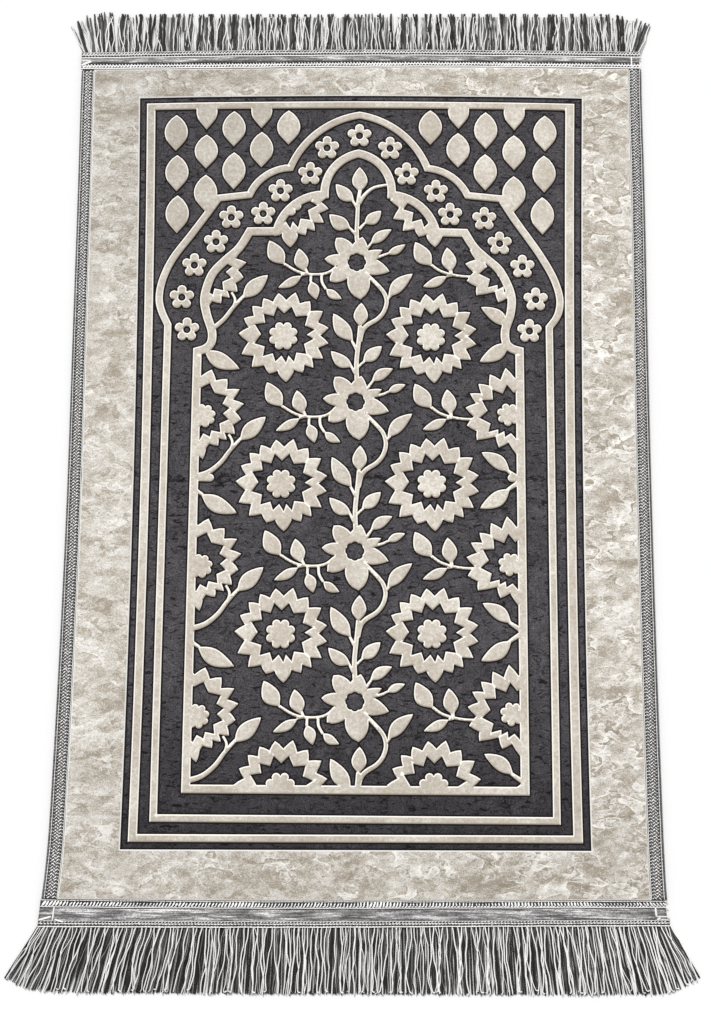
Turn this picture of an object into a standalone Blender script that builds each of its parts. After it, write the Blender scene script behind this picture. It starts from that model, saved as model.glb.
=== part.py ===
"""Prayer rug: a cut-pile cloth with an arch design, edged with braid, taped and fringed at both ends.

The rug is laid out in millimetres as it lies: x to the right, y towards the far end, z up from the floor.
The objects are made at that size in metres and centred on the world's origin at the end.
Run with: blender --background --python part.py
"""

from collections import namedtuple
from math import atan2, cos, hypot, pi, radians, sin, sqrt

import bmesh
import bpy
from mathutils import Matrix, Vector
from mathutils.geometry import delaunay_2d_cdt

MM = 0.001  # metres in a millimetre
GAP = 0.3  # clearance between neighbouring pieces

# ---------------------------------------------------------------- heights of the lying rug (mm)
BACKING_TOP = 2.0  # woven back with its pile flattened, under the edging and the tapes
GROUND_TOP = 3.0  # clipped dark pile
PILE_TOP = 4.4  # full light pile of the figures and the border
SHEET_BOTTOM = BACKING_TOP + GAP  # underside of what is sewn on top of the cloth
EDGING_TOP = 3.9
TAPE_TOP = 3.6
TAPE_LIP_TOP = 3.2
HEADER_TOP = 1.8  # woven strip that holds the fringe
STRAND_TIP_TOP = 1.3

# ---------------------------------------------------------------- widths (mm)
EDGING_W = 15.0
PIPING_W = 2.3  # outer roll of the edging, which wraps the cloth's side
TAPE_END_W = 2.0  # tape end turned down over the cloth's side
HEADER_W = 7.0
HEADER_SET_BACK = 0.9  # how far the fringe's strip stays inside the tape's outer edge
STRAND_W = 3.0
STRANDS = 128  # on each end

# ---------------------------------------------------------------- the rug's outline, as uneven as it lies
Side = namedtuple("Side", "y left right")
SIDES = [
    Side(516, -341.0, 339.6),
    Side(470, -341.6, 338.9),
    Side(350, -341.2, 340.0),
    Side(140, -341.5, 340.3),
    Side(-30, -341.7, 341.1),
    Side(-200, -343.9, 342.9),
    Side(-360, -347.4, 345.4),
    Side(-440, -350.1, 347.1),
    Side(-490, -354.2, 349.3),
    Side(-526, -358.9, 353.8),
]
Tape = namedtuple("Tape", "x inner outer")
TAPES = {
    "far": [
        Tape(-342, 487.0, 508.5),
        Tape(-200, 489.0, 512.0),
        Tape(-60, 491.5, 514.5),
        Tape(100, 493.5, 515.8),
        Tape(341, 493.0, 515.0),
    ],
    "near": [
        Tape(-360, -495.6, -526.0),
        Tape(-150, -496.0, -525.2),
        Tape(0, -495.2, -524.0),
        Tape(150, -494.0, -522.0),
        Tape(355, -492.0, -520.0),
    ],
}
Strand = namedtuple("Strand", "x lean tip")  # root, sideways shift of the tip, y of the tip
FRINGES = {
    "far": [
        Strand(-335, -19, 545),
        Strand(-327, -8, 553),
        Strand(-290, -2, 556),
        Strand(-150, 0, 559),
        Strand(60, 0, 561),
        Strand(230, 1, 562),
        Strand(318, 3, 560),
        Strand(334, 16, 551),
    ],
    "near": [
        Strand(-352, -36, -585),
        Strand(-343, -30, -593),
        Strand(-310, -21, -597),
        Strand(-220, -15, -598),
        Strand(-120, -4, -598),
        Strand(60, 1, -597),
        Strand(190, 7, -596),
        Strand(290, 17, -594),
        Strand(335, 26, -590),
        Strand(348, 34, -580),
    ],
}
SIDE_STATIONS = [-515, -500, -485, -465, -440, -400, -340, -260, -170, -80, 30, 140, 250, 350, 440, 480]  # y
END_STATIONS = [-300, -200, -130, -60, 20, 100, 170, 240, 300]  # x
FOLD = {"y": -14.0, "half_width": 10.0, "depth": 0.8}  # the crease that the rug was folded at

# ---------------------------------------------------------------- the design's frame (mm)
Frame = namedtuple("Frame", "left right bottom top")
FIELD_EDGE = Frame(-267.5, 264.5, -439.8, 451.6)  # where the border's light pile ends
BAND_OUTER = Frame(-259.0, 255.3, -431.3, 444.6)
BAND_INNER = Frame(-248.9, 244.6, -422.8, 436.2)
FRAME_STEPS = 6  # points along a side of these rectangles
ARC_STEPS = 3
OUTER_ARCH = {
    "legs": Frame(-231.2, 226.3, -405.2, None),
    "band": (8.5, 8.3),  # width of the band's legs and of its foot
    "left": (
        [((-3, 431.2), (-55, 407.5), (-86, 364.3)), ((-86, 364.3), (-115, 354.5), (-134.5, 330))],
        [(-171.5, 325.5), (-187, 303), (-204, 279), (-224.5, 250.5), (-236, 225), (-239.9, 203), (-237, 186.5),
         (-228.8, 168.8)],
    ),
    "right": (
        [((-3, 431.2), (48, 408), (79, 364.6)), ((79, 364.6), (107, 355), (127.5, 331))],
        [(167.3, 327.3), (184, 301), (200, 278), (216, 254), (230, 228), (236.7, 204), (234, 184), (223.8, 169)],
    ),
}
INNER_ARCH = {
    "legs": Frame(-195.2, 190.6, -372.4, None),
    "band": (10.0, 9.6),
    "left": (
        [((-4, 382.6), (-31, 367.5), (-44.5, 331)), ((-44.5, 331), (-83, 316), (-101.5, 284.6))],
        [(-133.5, 284.2), (-146, 263.5), (-163, 247.5), (-178, 230), (-186, 203), (-183, 182), (-176.3, 161),
         (-177.2, 147), (-184, 140), (-193, 136.8)],
    ),
    "right": (
        [((-4, 382.6), (23.5, 367.5), (36, 331)), ((36, 331), (71, 316.5), (89.5, 285))],
        [(124, 284.3), (135, 266.5), (149, 253), (166, 237), (178.5, 209), (178, 186), (171.5, 165), (172.5, 150),
         (179, 143), (188.2, 140)],
    ),
}

# ---------------------------------------------------------------- the design's motifs (mm)
Spot = namedtuple("Spot", "x y")
FLORETS = [  # between the two arches
    Spot(-3, 405), Spot(-42, 389.5), Spot(-62, 356.8), Spot(-97.5, 335), Spot(-117.8, 306.3), Spot(-156, 301.5),
    Spot(-173.7, 271), Spot(-199, 242), Spot(-213, 202.5), Spot(-206, 163), Spot(34, 389.3), Spot(54, 357),
    Spot(89.3, 335.5), Spot(106.3, 307), Spot(147.3, 302), Spot(165.5, 271.5), Spot(192.5, 243), Spot(208, 202.8),
    Spot(200.3, 164.3),
]
FLORET = {"ring": 9.3, "petal": 5.6, "petals": 5, "hole": 4.5}
Drop = namedtuple("Drop", "x top bottom width")
DROPS = [  # in the corners above the arch
    Drop(-224.5, 429.5, 384.5, 28), Drop(-222.5, 379, 334, 28), Drop(-221, 328.5, 281.5, 28),
    Drop(-187.9, 456, 411.5, 25.5), Drop(-187.7, 405, 362.5, 28), Drop(-187.5, 354.5, 309, 28),
    Drop(-154.7, 435, 390.5, 28), Drop(-154, 383, 336.5, 28), Drop(-121.6, 457, 414, 25.5),
    Drop(-121, 409, 364.5, 28), Drop(-88.7, 436.5, 393.5, 28), Drop(82.6, 438, 394.5, 28),
    Drop(116.7, 458, 415, 25.5), Drop(116, 409.5, 366, 28), Drop(149.5, 436, 389.5, 28),
    Drop(148.7, 383, 337.5, 28), Drop(184.2, 457, 413.5, 25.5), Drop(183.5, 407, 363.5, 28),
    Drop(183, 355.5, 311, 28), Drop(221, 432, 387, 28), Drop(219.5, 381.5, 335.5, 28), Drop(217, 329.5, 283, 28),
]
Rosette = namedtuple("Rosette", "x y size")
ROSETTES = [
    Rosette(-88, 321.5, 0.92), Rosette(-90.8, 157, 1), Rosette(-91, -20.3, 1), Rosette(-89, -195.3, 1),
    Rosette(-87, -369.5, 1), Rosette(85, 323, 0.94), Rosette(84.2, 157, 1), Rosette(85, -20, 1),
    Rosette(85.5, -194, 1), Rosette(87.5, -368.5, 1),
]
LEFT_HALF_ROSETTES = [Spot(-191, 235), Spot(-191, 63), Spot(-191, -114.5), Spot(-191, -287)]
RIGHT_HALF_ROSETTES = [Spot(181, 236), Spot(181, 61), Spot(181.5, -116), Spot(182.5, -288)]
Ray = namedtuple("Ray", "angle length")  # degrees from the right, anticlockwise
ROSETTE_PETALS = [
    Ray(98, 52), Ray(76, 54), Ray(54, 50.5), Ray(33, 52.5), Ray(10, 51), Ray(-10, 51), Ray(-32, 53),
    Ray(-48, 52.5), Ray(-63, 50.5), Ray(-86, 53), Ray(-110, 49.5), Ray(-134, 54), Ray(-155, 55), Ray(-182, 54),
    Ray(-203, 52), Ray(-223, 52), Ray(-241, 51.5),
]
ROSETTE_STAR = [
    Ray(104, 36), Ray(76, 36), Ray(41, 37), Ray(11, 37.5), Ray(-7, 35.5), Ray(-40, 35), Ray(-69, 34.5),
    Ray(-85, 33.5), Ray(-107, 33.5), Ray(-134, 35.5), Ray(-164, 36.5), Ray(-201, 37.5), Ray(-227, 36),
]
HALF_PETALS = [
    Ray(75, 55), Ray(99.6, 59.8), Ray(118.8, 58), Ray(137.5, 57.7), Ray(151.7, 59), Ray(169, 58), Ray(191.3, 56),
    Ray(213.5, 53.4), Ray(241.6, 43), Ray(264, 48), Ray(300, 50), Ray(0, 50),
]
HALF_STAR = [
    Ray(75, 38), Ray(102, 40), Ray(129, 43), Ray(153, 44), Ray(184, 42), Ray(209, 37.5), Ray(226, 31),
    Ray(245, 28), Ray(272, 27), Ray(330, 30),
]
Daisy = namedtuple("Daisy", "x y pitch lift")  # middle, distance to the next, lift of its side branches
DAISIES = [Daisy(-5.5, 247.5, 169, 3), Daisy(-5.7, 77.5, 176.8, 0), Daisy(-5.3, -99.3, 173.5, 0.7),
           Daisy(-4, -272.5, 173, 0)]
FULL_PITCH = 176.8
Petal = namedtuple("Petal", "x y width")  # tip from the daisy's middle
DAISY_PETALS = [Petal(8, 30, 17), Petal(-25, 28, 19), Petal(-38, 3.5, 15), Petal(-31.5, -24, 19),
                Petal(5.5, -45.5, 31), Petal(38.5, -11, 20), Petal(30, 14.5, 13)]
Leaf = namedtuple("Leaf", "x y tip_x tip_y width bend")
Stem = namedtuple("Stem", "start_w end_w points")
VINE_LEAVES = [  # from the middle of the daisy above
    Leaf(5, -83, 6.2, -52.5, 17, 0), Leaf(-3.5, -101.5, -27, -66.5, 18.5, 2), Leaf(-3.5, -134, -29.5, -114.5, 15, 2.5),
    Leaf(8.5, -127.5, 30.5, -107.5, 15, -0.5), Leaf(19, -152, 44, -136, 13, 1.5), Leaf(38, -165.5, 59, -156, 9.5, 0.3),
    Leaf(38, -43, 67, -14, 15.5, 2),
]
VINE_STEMS = [
    Stem(5, 5.5, [(5, -82), (3.5, -100), (1, -125), (1, -140), (2, -150)]),
    Stem(2.6, 5.5, [(18.7, -22.5), (27, -30), (33.5, -38.5), (36.3, -51), (32.8, -64), (25, -73.5), (14, -80.5),
                    (7.5, -88.5), (4.5, -102)]),
]
BRANCH_LEAVES = [  # beside the daisy
    Leaf(-86, -6.5, -104.5, 22.5, 20, 2), Leaf(-62, -13, -69, 13, 17, 1), Leaf(-65, -20.5, -93, -35.5, 11, 1),
    Leaf(-54.5, -27, -47.5, -49.5, 13.5, 0.5), Leaf(-36, -36.5, -17.5, -48.5, 10.5, -1.5),
    Leaf(89.5, -7, 70, 22, 20, 2), Leaf(112, -12, 108, 15.5, 17.5, 0), Leaf(108, -20, 79.5, -33, 11.5, 1),
]
BRANCH_STEMS = [
    Stem(3, 3, [(-24, -9), (-33, -16), (-45, -18.7), (-60, -18), (-72, -14.5), (-86, -6)]),
    Stem(3.2, 2.8, [(89.5, -6), (99, -13), (112, -17.5), (128, -20), (140, -20)]),
]
CROWN_LEAVES = [  # in the arch's head, from the design's origin
    Leaf(-2, 334, -2.5, 365.5, 18.5, 0), Leaf(-9, 322.5, -31, 344, 16, 1.5), Leaf(-13, 289.5, -38.5, 306, 17.5, 2.5),
    Leaf(3.5, 295, 23.5, 311, 14.5, -1.5), Leaf(11, 270, 36, 288, 12.5, 1), Leaf(31, 257.5, 53, 269.5, 9.5, -1),
]
CROWN_STEMS = [
    Stem(4, 5.5, [(-2, 336), (-4, 322), (-5, 300), (-5.5, 280), (-4, 270)]),
    Stem(5, 3, [(-3, 320), (4, 331), (15, 340), (31, 343.5)]),
]
LEFT_SIDE_LEAVES = [Leaf(52, -31, 80, -4.5, 18, 0.3), Leaf(9, -97, 48, -116.5, 19, -2)]  # by a half rosette
LEFT_SIDE_STEMS = [Stem(4.5, 3, [(0, -76), (20, -72), (33, -62), (40.5, -48), (40, -30)])]
RIGHT_SIDE_LEAVES = [Leaf(-8, -64, -37, -43, 15.5, -2), Leaf(-8, -88, -39, -109.5, 17, 2)]
FOLD_STUBS = [Leaf(-196, -14, -164, -14, 11, 0), Leaf(192, -12, 170, -12, 12, 0)]

LEAF_STEPS = 3  # points along a leaf's side
PETAL_ARC_STEPS = 2
FLATTEST = radians(3)  # an outline's point that turns it by less is dropped
EPSILON = 0.02  # points nearer than this (mm) are one
PINCH_W = 0.35  # reach of the patch that joins two figures at a point
SPECK_AREA = 7.0  # a patch of the design smaller than this (mm2) takes the height round it
BACKING, GROUND, PILE = 0, 1, 2  # levels of the cloth's face


# ---------------------------------------------------------------- curves and outlines
def smooth_value(rows, at, column):
    """A table's column as a smooth function of its first column, held at both ends."""
    rows = sorted(rows)
    keys = [row[0] for row in rows]
    values = [getattr(row, column) for row in rows]
    if at <= keys[0]:
        return values[0]
    if at >= keys[-1]:
        return values[-1]
    slopes = [(b - a) / (q - p) for a, b, p, q in zip(values, values[1:], keys, keys[1:])]
    tangents = [slopes[0]] + [(a + b) / 2 for a, b in zip(slopes, slopes[1:])] + [slopes[-1]]
    k = next(i for i in range(len(keys) - 1) if at <= keys[i + 1])
    span = keys[k + 1] - keys[k]
    t = (at - keys[k]) / span
    rise = values[k + 1] - values[k]
    start, end = tangents[k] * span - rise, rise - tangents[k + 1] * span
    return values[k] + rise * t + t * (1 - t) * (start * (1 - t) + end * t)


def arc_through(start, middle, end, steps):
    """Points of the circle's arc through three points."""
    (ax, ay), (bx, by), (cx, cy) = start, middle, end
    double_area = 2 * (ax * (by - cy) + bx * (cy - ay) + cx * (ay - by))
    a2, b2, c2 = ax * ax + ay * ay, bx * bx + by * by, cx * cx + cy * cy
    ux = (a2 * (by - cy) + b2 * (cy - ay) + c2 * (ay - by)) / double_area
    uy = (a2 * (cx - bx) + b2 * (ax - cx) + c2 * (bx - ax)) / double_area
    radius = hypot(ax - ux, ay - uy)
    first, last = atan2(ay - uy, ax - ux), atan2(cy - uy, cx - ux)
    turn = (last - first + pi) % (2 * pi) - pi  # these arcs are all under half a circle
    return [(ux + radius * cos(first + turn * i / steps), uy + radius * sin(first + turn * i / steps))
            for i in range(steps + 1)]


def spline(points, steps):
    """A Catmull-Rom curve through the points."""
    ends = [points[0], *points, points[-1]]
    out = []
    for p0, p1, p2, p3 in zip(ends, ends[1:], ends[2:], ends[3:]):
        for i in range(steps):
            t = i / steps
            out.append(tuple(
                0.5 * (2 * b + (c - a) * t + (2 * a - 5 * b + 4 * c - d) * t * t + (3 * b - a - 3 * c + d) * t ** 3)
                for a, b, c, d in zip(p0, p1, p2, p3)))
    return out + [points[-1]]


def left_of(path, distances):
    """The path moved to its left by a distance for each point, mitred at its corners."""
    ways = []
    for (ax, ay), (bx, by) in zip(path, path[1:]):
        length = hypot(bx - ax, by - ay)
        ways.append((-(by - ay) / length, (bx - ax) / length))
    out = []
    for (x, y), before, after, distance in zip(path, [ways[0]] + ways, ways + [ways[-1]], distances):
        nx, ny = before[0] + after[0], before[1] + after[1]
        length = hypot(nx, ny)
        nx, ny = nx / length, ny / length
        mitre = distance / max(nx * before[0] + ny * before[1], 0.5)
        out.append((x + nx * mitre, y + ny * mitre))
    return out


def ribbon(path, start_w, end_w):
    """Outline of a band along a path, its width changing evenly."""
    halves = [(start_w + (end_w - start_w) * i / (len(path) - 1)) / 2 for i in range(len(path))]
    return left_of(path, halves) + left_of(path, [-h for h in halves])[::-1]


def leaf_outline(leaf):
    """A pointed leaf from its base to its tip, its middle line bent to one side."""
    along_x, along_y = leaf.tip_x - leaf.x, leaf.tip_y - leaf.y
    length = hypot(along_x, along_y)
    across_x, across_y = -along_y / length, along_x / length
    sides = {1: [], -1: []}
    for i in range(LEAF_STEPS + 1):
        t = i / LEAF_STEPS
        half = leaf.width / 2 * sin(pi * t ** 0.92) ** 0.9 if 0 < i < LEAF_STEPS else 0
        for side, points in sides.items():
            out = leaf.bend * sin(pi * t) + side * half
            points.append((leaf.x + along_x * t + across_x * out, leaf.y + along_y * t + across_y * out))
    return sides[1] + sides[-1][-2:0:-1]


def drop_outline(drop):
    """A drop that hangs point up, fullest below its middle."""
    sides = {1: [], -1: []}
    for i in range(LEAF_STEPS + 1):
        t = i / LEAF_STEPS
        half = drop.width / 2 * sin(pi * t ** 0.95) ** 0.8 if 0 < i < LEAF_STEPS else 0
        for side, points in sides.items():
            points.append((drop.x - side * half, drop.top + (drop.bottom - drop.top) * t))
    return sides[1] + sides[-1][-2:0:-1]


def lobed_outline(x, y, ring, petal, petals, steps):
    """Outline of equal round petals set in a ring, the first one straight up."""
    out = []
    for k in range(petals):
        for i in range(steps):
            off = (i / steps - 0.5) * 2 * pi / petals
            reach = ring * cos(off) + sqrt(max(petal ** 2 - (ring * sin(off)) ** 2, 0.04))
            angle = pi / 2 + 2 * pi * k / petals + off
            out.append((x + reach * cos(angle), y + reach * sin(angle)))
    return out


def star_outline(x, y, rays, size, notch):
    """A star of uneven rays; notch is the notches' radius, given the lengths of the rays on both sides."""
    out = []
    for ray, following in zip(rays, rays[1:] + rays[:1]):
        turn = (following.angle - ray.angle + 180) % 360 - 180
        between = radians(ray.angle + turn / 2)
        depth = size * notch((ray.length + following.length) / 2)
        out.append((x + size * ray.length * cos(radians(ray.angle)), y + size * ray.length * sin(radians(ray.angle))))
        out.append((x + depth * cos(between), y + depth * sin(between)))
    return out


def bowed(x, y):
    """Where a point of the design lies on the rug, which isn't quite square."""
    t = (y + 440) / 890
    swell = 1 + 0.0015 - 0.0575 * t + 0.0635 * t * t
    far_lift = 4.3 - 5.0 * ((x - 80) / 340) ** 2
    near_lift = 0.6 + 0.004 * x
    return x * swell, y + far_lift * max(0, t) ** 3 + near_lift * max(0, 1 - t) ** 3


def frame_outline(frame):
    """A rectangle of the design, with enough points to bow."""
    corners = [(frame.left, frame.bottom), (frame.right, frame.bottom), (frame.right, frame.top), (frame.left, frame.top)]
    return [bowed(ax + (bx - ax) * i / FRAME_STEPS, ay + (by - ay) * i / FRAME_STEPS)
            for (ax, ay), (bx, by) in zip(corners, corners[1:] + corners[:1]) for i in range(FRAME_STEPS)]


def arch_outline(arch, side):
    """Outer (side 1) or inner (side -1) edge of an arch's light band, down its legs and along its foot."""
    halves = {}
    for hand in ("left", "right"):
        (head, shoulder), flank = arch[hand]
        halves[hand] = (arc_through(*head, 2 * ARC_STEPS) + arc_through(*shoulder, ARC_STEPS)[1:]
                        + spline(flank, max(1, ARC_STEPS // 2)))
    legs, (leg_w, foot_w) = arch["legs"], arch["band"]
    path = [(legs.left, legs.bottom)] + halves["left"][::-1] + halves["right"][1:] + [(legs.right, legs.bottom)]
    edge = left_of(path, [side * leg_w / 2] * len(path))
    foot = legs.bottom - side * foot_w / 2
    edge[0] = (legs.left - side * leg_w / 2, foot)
    edge[-1] = (legs.right + side * leg_w / 2, foot)
    return edge


# ---------------------------------------------------------------- the design
def moved(rows, place):
    """The rows of leaves or stems with their points placed."""
    out = []
    for row in rows:
        if isinstance(row, Leaf):
            out.append(Leaf(*place(row.x, row.y), *place(row.tip_x, row.tip_y), row.width, row.bend))
        else:
            out.append(Stem(row.start_w, row.end_w, [place(*point) for point in row.points]))
    return out


def greenery():
    """Every leaf and stem of the inner field."""
    rows = CROWN_LEAVES + CROWN_STEMS + FOLD_STUBS
    for daisy in DAISIES:
        rows += moved(VINE_LEAVES + VINE_STEMS, lambda x, y: (
            daisy.x + x, daisy.y + y * (daisy.pitch / FULL_PITCH if y < -50 else 1)))
        rows += moved(BRANCH_LEAVES + BRANCH_STEMS, lambda x, y: (daisy.x + x, daisy.y + y + daisy.lift))
    for spots, plants in ((LEFT_HALF_ROSETTES, LEFT_SIDE_LEAVES + LEFT_SIDE_STEMS),
                          (RIGHT_HALF_ROSETTES, RIGHT_SIDE_LEAVES)):
        for spot in spots:
            rows += moved(plants, lambda x, y: (spot.x + x, spot.y + y))
    return [leaf_outline(row) if isinstance(row, Leaf) else ribbon(spline(row.points, 1), row.start_w, row.end_w)
            for row in rows]


def rosette_shapes(x, y, size, petals, star, notch, star_size):
    """A light rosette with a dark star and a light flower in it."""
    return [
        (PILE, star_outline(x, y, petals, size, notch)),
        (GROUND, star_outline(x, y, star, star_size, lambda length: 0.75 * length)),
        (PILE, lobed_outline(x, y - 1, 11.3, 5.5, 9, PETAL_ARC_STEPS)),
    ]


def field_shapes():
    """Level and outline of each figure of the inner field, a later one covering an earlier one."""
    shapes = [(PILE, outline) for outline in greenery()]
    for x, y, size in ROSETTES + [Rosette(*spot, 1) for spot in LEFT_HALF_ROSETTES]:
        shapes += rosette_shapes(x, y, size, ROSETTE_PETALS, ROSETTE_STAR, lambda length: 41.5, 1)
    for x, y in RIGHT_HALF_ROSETTES:
        shapes += rosette_shapes(x, y, 1, HALF_PETALS, HALF_STAR, lambda length: 43, 1)
    for daisy in DAISIES:
        for petal in DAISY_PETALS:
            shapes.append((PILE, leaf_outline(Leaf(daisy.x + 0.05 * petal.x, daisy.y + 0.05 * petal.y,
                                                   daisy.x + petal.x, daisy.y + petal.y, petal.width, 0))))
        shapes.append((PILE, lobed_outline(daisy.x, daisy.y, 0, 17, 1, 8)))
        shapes.append((GROUND, lobed_outline(daisy.x, daisy.y, 0, 11.5, 1, 8)))
    return shapes


Region = namedtuple("Region", "level outline left right bottom top")


def region(level, outline):
    """An outline with its box, which makes the test of a point quick."""
    xs, ys = zip(*outline)
    return Region(level, outline, min(xs), max(xs), min(ys), max(ys))


def holds(area, x, y):
    """Whether a point lies in a region, by counting the edges to its right."""
    if not (area.left <= x <= area.right and area.bottom <= y <= area.top):
        return False
    inside = False
    for (ax, ay), (bx, by) in zip(area.outline, area.outline[1:] + area.outline[:1]):
        if (ay > y) != (by > y) and x < ax + (y - ay) * (bx - ax) / (by - ay):
            inside = not inside
    return inside


class Design:
    """The design's regions and the level that they give to a point."""

    def __init__(self):
        self.cloth = region(BACKING, cloth_outline())
        self.border = region(PILE, pile_outline())
        self.rings = [  # from the outside inwards: the level just inside each outline
            region(GROUND, frame_outline(FIELD_EDGE)),
            region(PILE, frame_outline(BAND_OUTER)),
            region(GROUND, frame_outline(BAND_INNER)),
            region(PILE, arch_outline(OUTER_ARCH, 1)),
            region(GROUND, arch_outline(OUTER_ARCH, -1)),
            region(PILE, arch_outline(INNER_ARCH, 1)),
            region(GROUND, arch_outline(INNER_ARCH, -1)),
        ]
        self.drops = [region(PILE, drop_outline(drop)) for drop in DROPS]
        self.florets = []
        for spot in FLORETS:
            self.florets.append(region(PILE, lobed_outline(
                spot.x, spot.y, FLORET["ring"], FLORET["petal"], FLORET["petals"], PETAL_ARC_STEPS)))
            self.florets.append(region(GROUND, lobed_outline(spot.x, spot.y, 0, FLORET["hole"], 1, 5)))
        self.field = [region(level, outline) for level, outline in field_shapes()]

    def outlines(self):
        """Every outline of the design."""
        return [area.outline for area in
                [self.cloth, self.border, *self.rings, *self.drops, *self.florets, *self.field]]

    def level(self, x, y):
        """Level of the cloth's face at a point."""
        if not holds(self.border, x, y):
            return BACKING
        depth = 0
        while depth < len(self.rings) and holds(self.rings[depth], x, y):
            depth += 1
        level = PILE if depth == 0 else self.rings[depth - 1].level
        shapes = {3: self.drops, 5: self.florets, 7: self.field}.get(depth, [])
        for area in shapes:
            if holds(area, x, y):
                level = area.level
        return level


# ---------------------------------------------------------------- outlines of the pieces
def side_x(y, hand):
    """x of the rug's left or right edge."""
    return smooth_value(SIDES, y, hand)


def tape_y(x, end, edge):
    """y of a tape's inner or outer edge."""
    return smooth_value(TAPES[end], x, edge)


def ring_between(inset, near_y, far_y):
    """A closed outline inset from the rug's sides, between two curves across it."""
    def corner(hand, curve):
        inward = inset if hand == "left" else -inset
        x = side_x(curve(0), hand) + inward
        return side_x(curve(x), hand) + inward, curve(x)

    def side(hand):
        inward = inset if hand == "left" else -inset
        near, far = corner(hand, near_y), corner(hand, far_y)
        between = [(side_x(y, hand) + inward, y) for y in SIDE_STATIONS if near[1] + 2 < y < far[1] - 2]
        return [near, *between, far]

    return ([(x, near_y(x)) for x in END_STATIONS] + side("right")
            + [(x, far_y(x)) for x in reversed(END_STATIONS)] + side("left")[::-1])


def header_line(x, end, depth):
    """y of a line along the fringe's strip: depth 0 is its outer side, 1 its inner side."""
    outward = 1 if end == "far" else -1
    return tape_y(x, end, "outer") - outward * (HEADER_SET_BACK + HEADER_W * depth)


def cloth_outline():
    """The cloth lies inside the edging's roll and between the two fringe strips."""
    return ring_between(PIPING_W + GAP,
                        lambda x: header_line(x, "near", 1) + GAP,
                        lambda x: header_line(x, "far", 1) - GAP)


def pile_outline():
    """The pile stands up where neither edging nor tape covers it."""
    return ring_between(EDGING_W + GAP,
                        lambda x: tape_y(x, "near", "inner") + GAP,
                        lambda x: tape_y(x, "far", "inner") - GAP)


# ---------------------------------------------------------------- mesh tools
def add_outline(points, edges, outline):
    """Add a closed outline to the points and edges of a flat drawing."""
    first = len(points)
    points += [Vector(point) for point in outline]
    edges += [(first + i, first + (i + 1) % len(outline)) for i in range(len(outline))]


def raise_faces(bm, faces, height):
    """Pull a group of faces straight up, with walls round it."""
    made = bmesh.ops.extrude_face_region(bm, geom=faces)["geom"]
    bmesh.ops.delete(bm, geom=faces, context="FACES")
    bmesh.ops.translate(bm, verts=[v for v in made if isinstance(v, bmesh.types.BMVert)], vec=(0, 0, height))


def merge_specks(bm):
    """Give each tiny patch of one level the level that lies round it."""
    seen = set()
    for start in bm.faces:
        if start in seen:
            continue
        patch, edge_levels = [start], []
        seen.add(start)
        for face in patch:
            for edge in face.edges:
                for other in edge.link_faces:
                    if other.material_index != face.material_index:
                        edge_levels.append(other.material_index)
                    elif other not in seen:
                        seen.add(other)
                        patch.append(other)
        if sum(face.calc_area() for face in patch) < SPECK_AREA and edge_levels:
            for face in patch:
                face.material_index = max(set(edge_levels), key=edge_levels.count)


def widen_pinches(bm):
    """Where figures meet at a single point, join them by a small patch of pile."""
    def borders(vert):
        return [e for e in vert.link_edges if len({f.material_index for f in e.link_faces}) > 1]
    for vert in [v for v in bm.verts if len(borders(v)) > 2]:
        middle = vert.co.copy()
        faces = bmesh.ops.bevel(bm, geom=[vert], offset=PINCH_W, offset_type="OFFSET", segments=1, profile=0.5,
                                affect="VERTICES", material=-1)["faces"]
        patch = min(faces, key=lambda f: (f.calc_center_median() - middle).length)
        patch.material_index = PILE


def carry(bm, face, sections, keep_first=False):
    """Extrude a face through sections, each a list of places for its corners; gives the last face."""
    for number, section in enumerate(sections):
        made = bmesh.ops.extrude_face_region(bm, geom=[face])["geom"]
        if number > 0 or not keep_first:
            bmesh.ops.delete(bm, geom=[face], context="FACES")
        face = next(f for f in made if isinstance(f, bmesh.types.BMFace))
        for loop, place in zip(face.loops, section):
            loop.vert.co = place
    return face


def material(name, colour, roughness):
    """A plain cloth surface of this colour (linear red, green, blue)."""
    made = bpy.data.materials.new(name)
    made.use_nodes = True
    shader = made.node_tree.nodes["Principled BSDF"]
    shader.inputs["Base Color"].default_value = (*colour, 1)
    shader.inputs["Roughness"].default_value = roughness
    shader.inputs["Metallic"].default_value = 0
    return made


def add_object(bm, name, *materials):
    """Make an object from a mesh in millimetres."""
    bmesh.ops.scale(bm, vec=(MM, MM, MM), verts=bm.verts)
    bmesh.ops.recalc_face_normals(bm, faces=bm.faces)
    mesh = bpy.data.meshes.new(name)
    bm.to_mesh(mesh)
    bm.free()
    for slot in materials:
        mesh.materials.append(slot)
    made = bpy.data.objects.new(name, mesh)
    bpy.context.scene.collection.objects.link(made)
    return made


# ---------------------------------------------------------------- pieces
def face_height(x, y):
    """How far the cloth's face is above or below its level: the fold's trough and a slight unevenness."""
    fold = max(0, 1 - abs(y - FOLD["y"]) / FOLD["half_width"])
    unevenness = 0.15 * sin(x / 31 + y / 57) + 0.12 * sin(y / 23 - x / 71)
    return unevenness - FOLD["depth"] * fold


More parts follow.
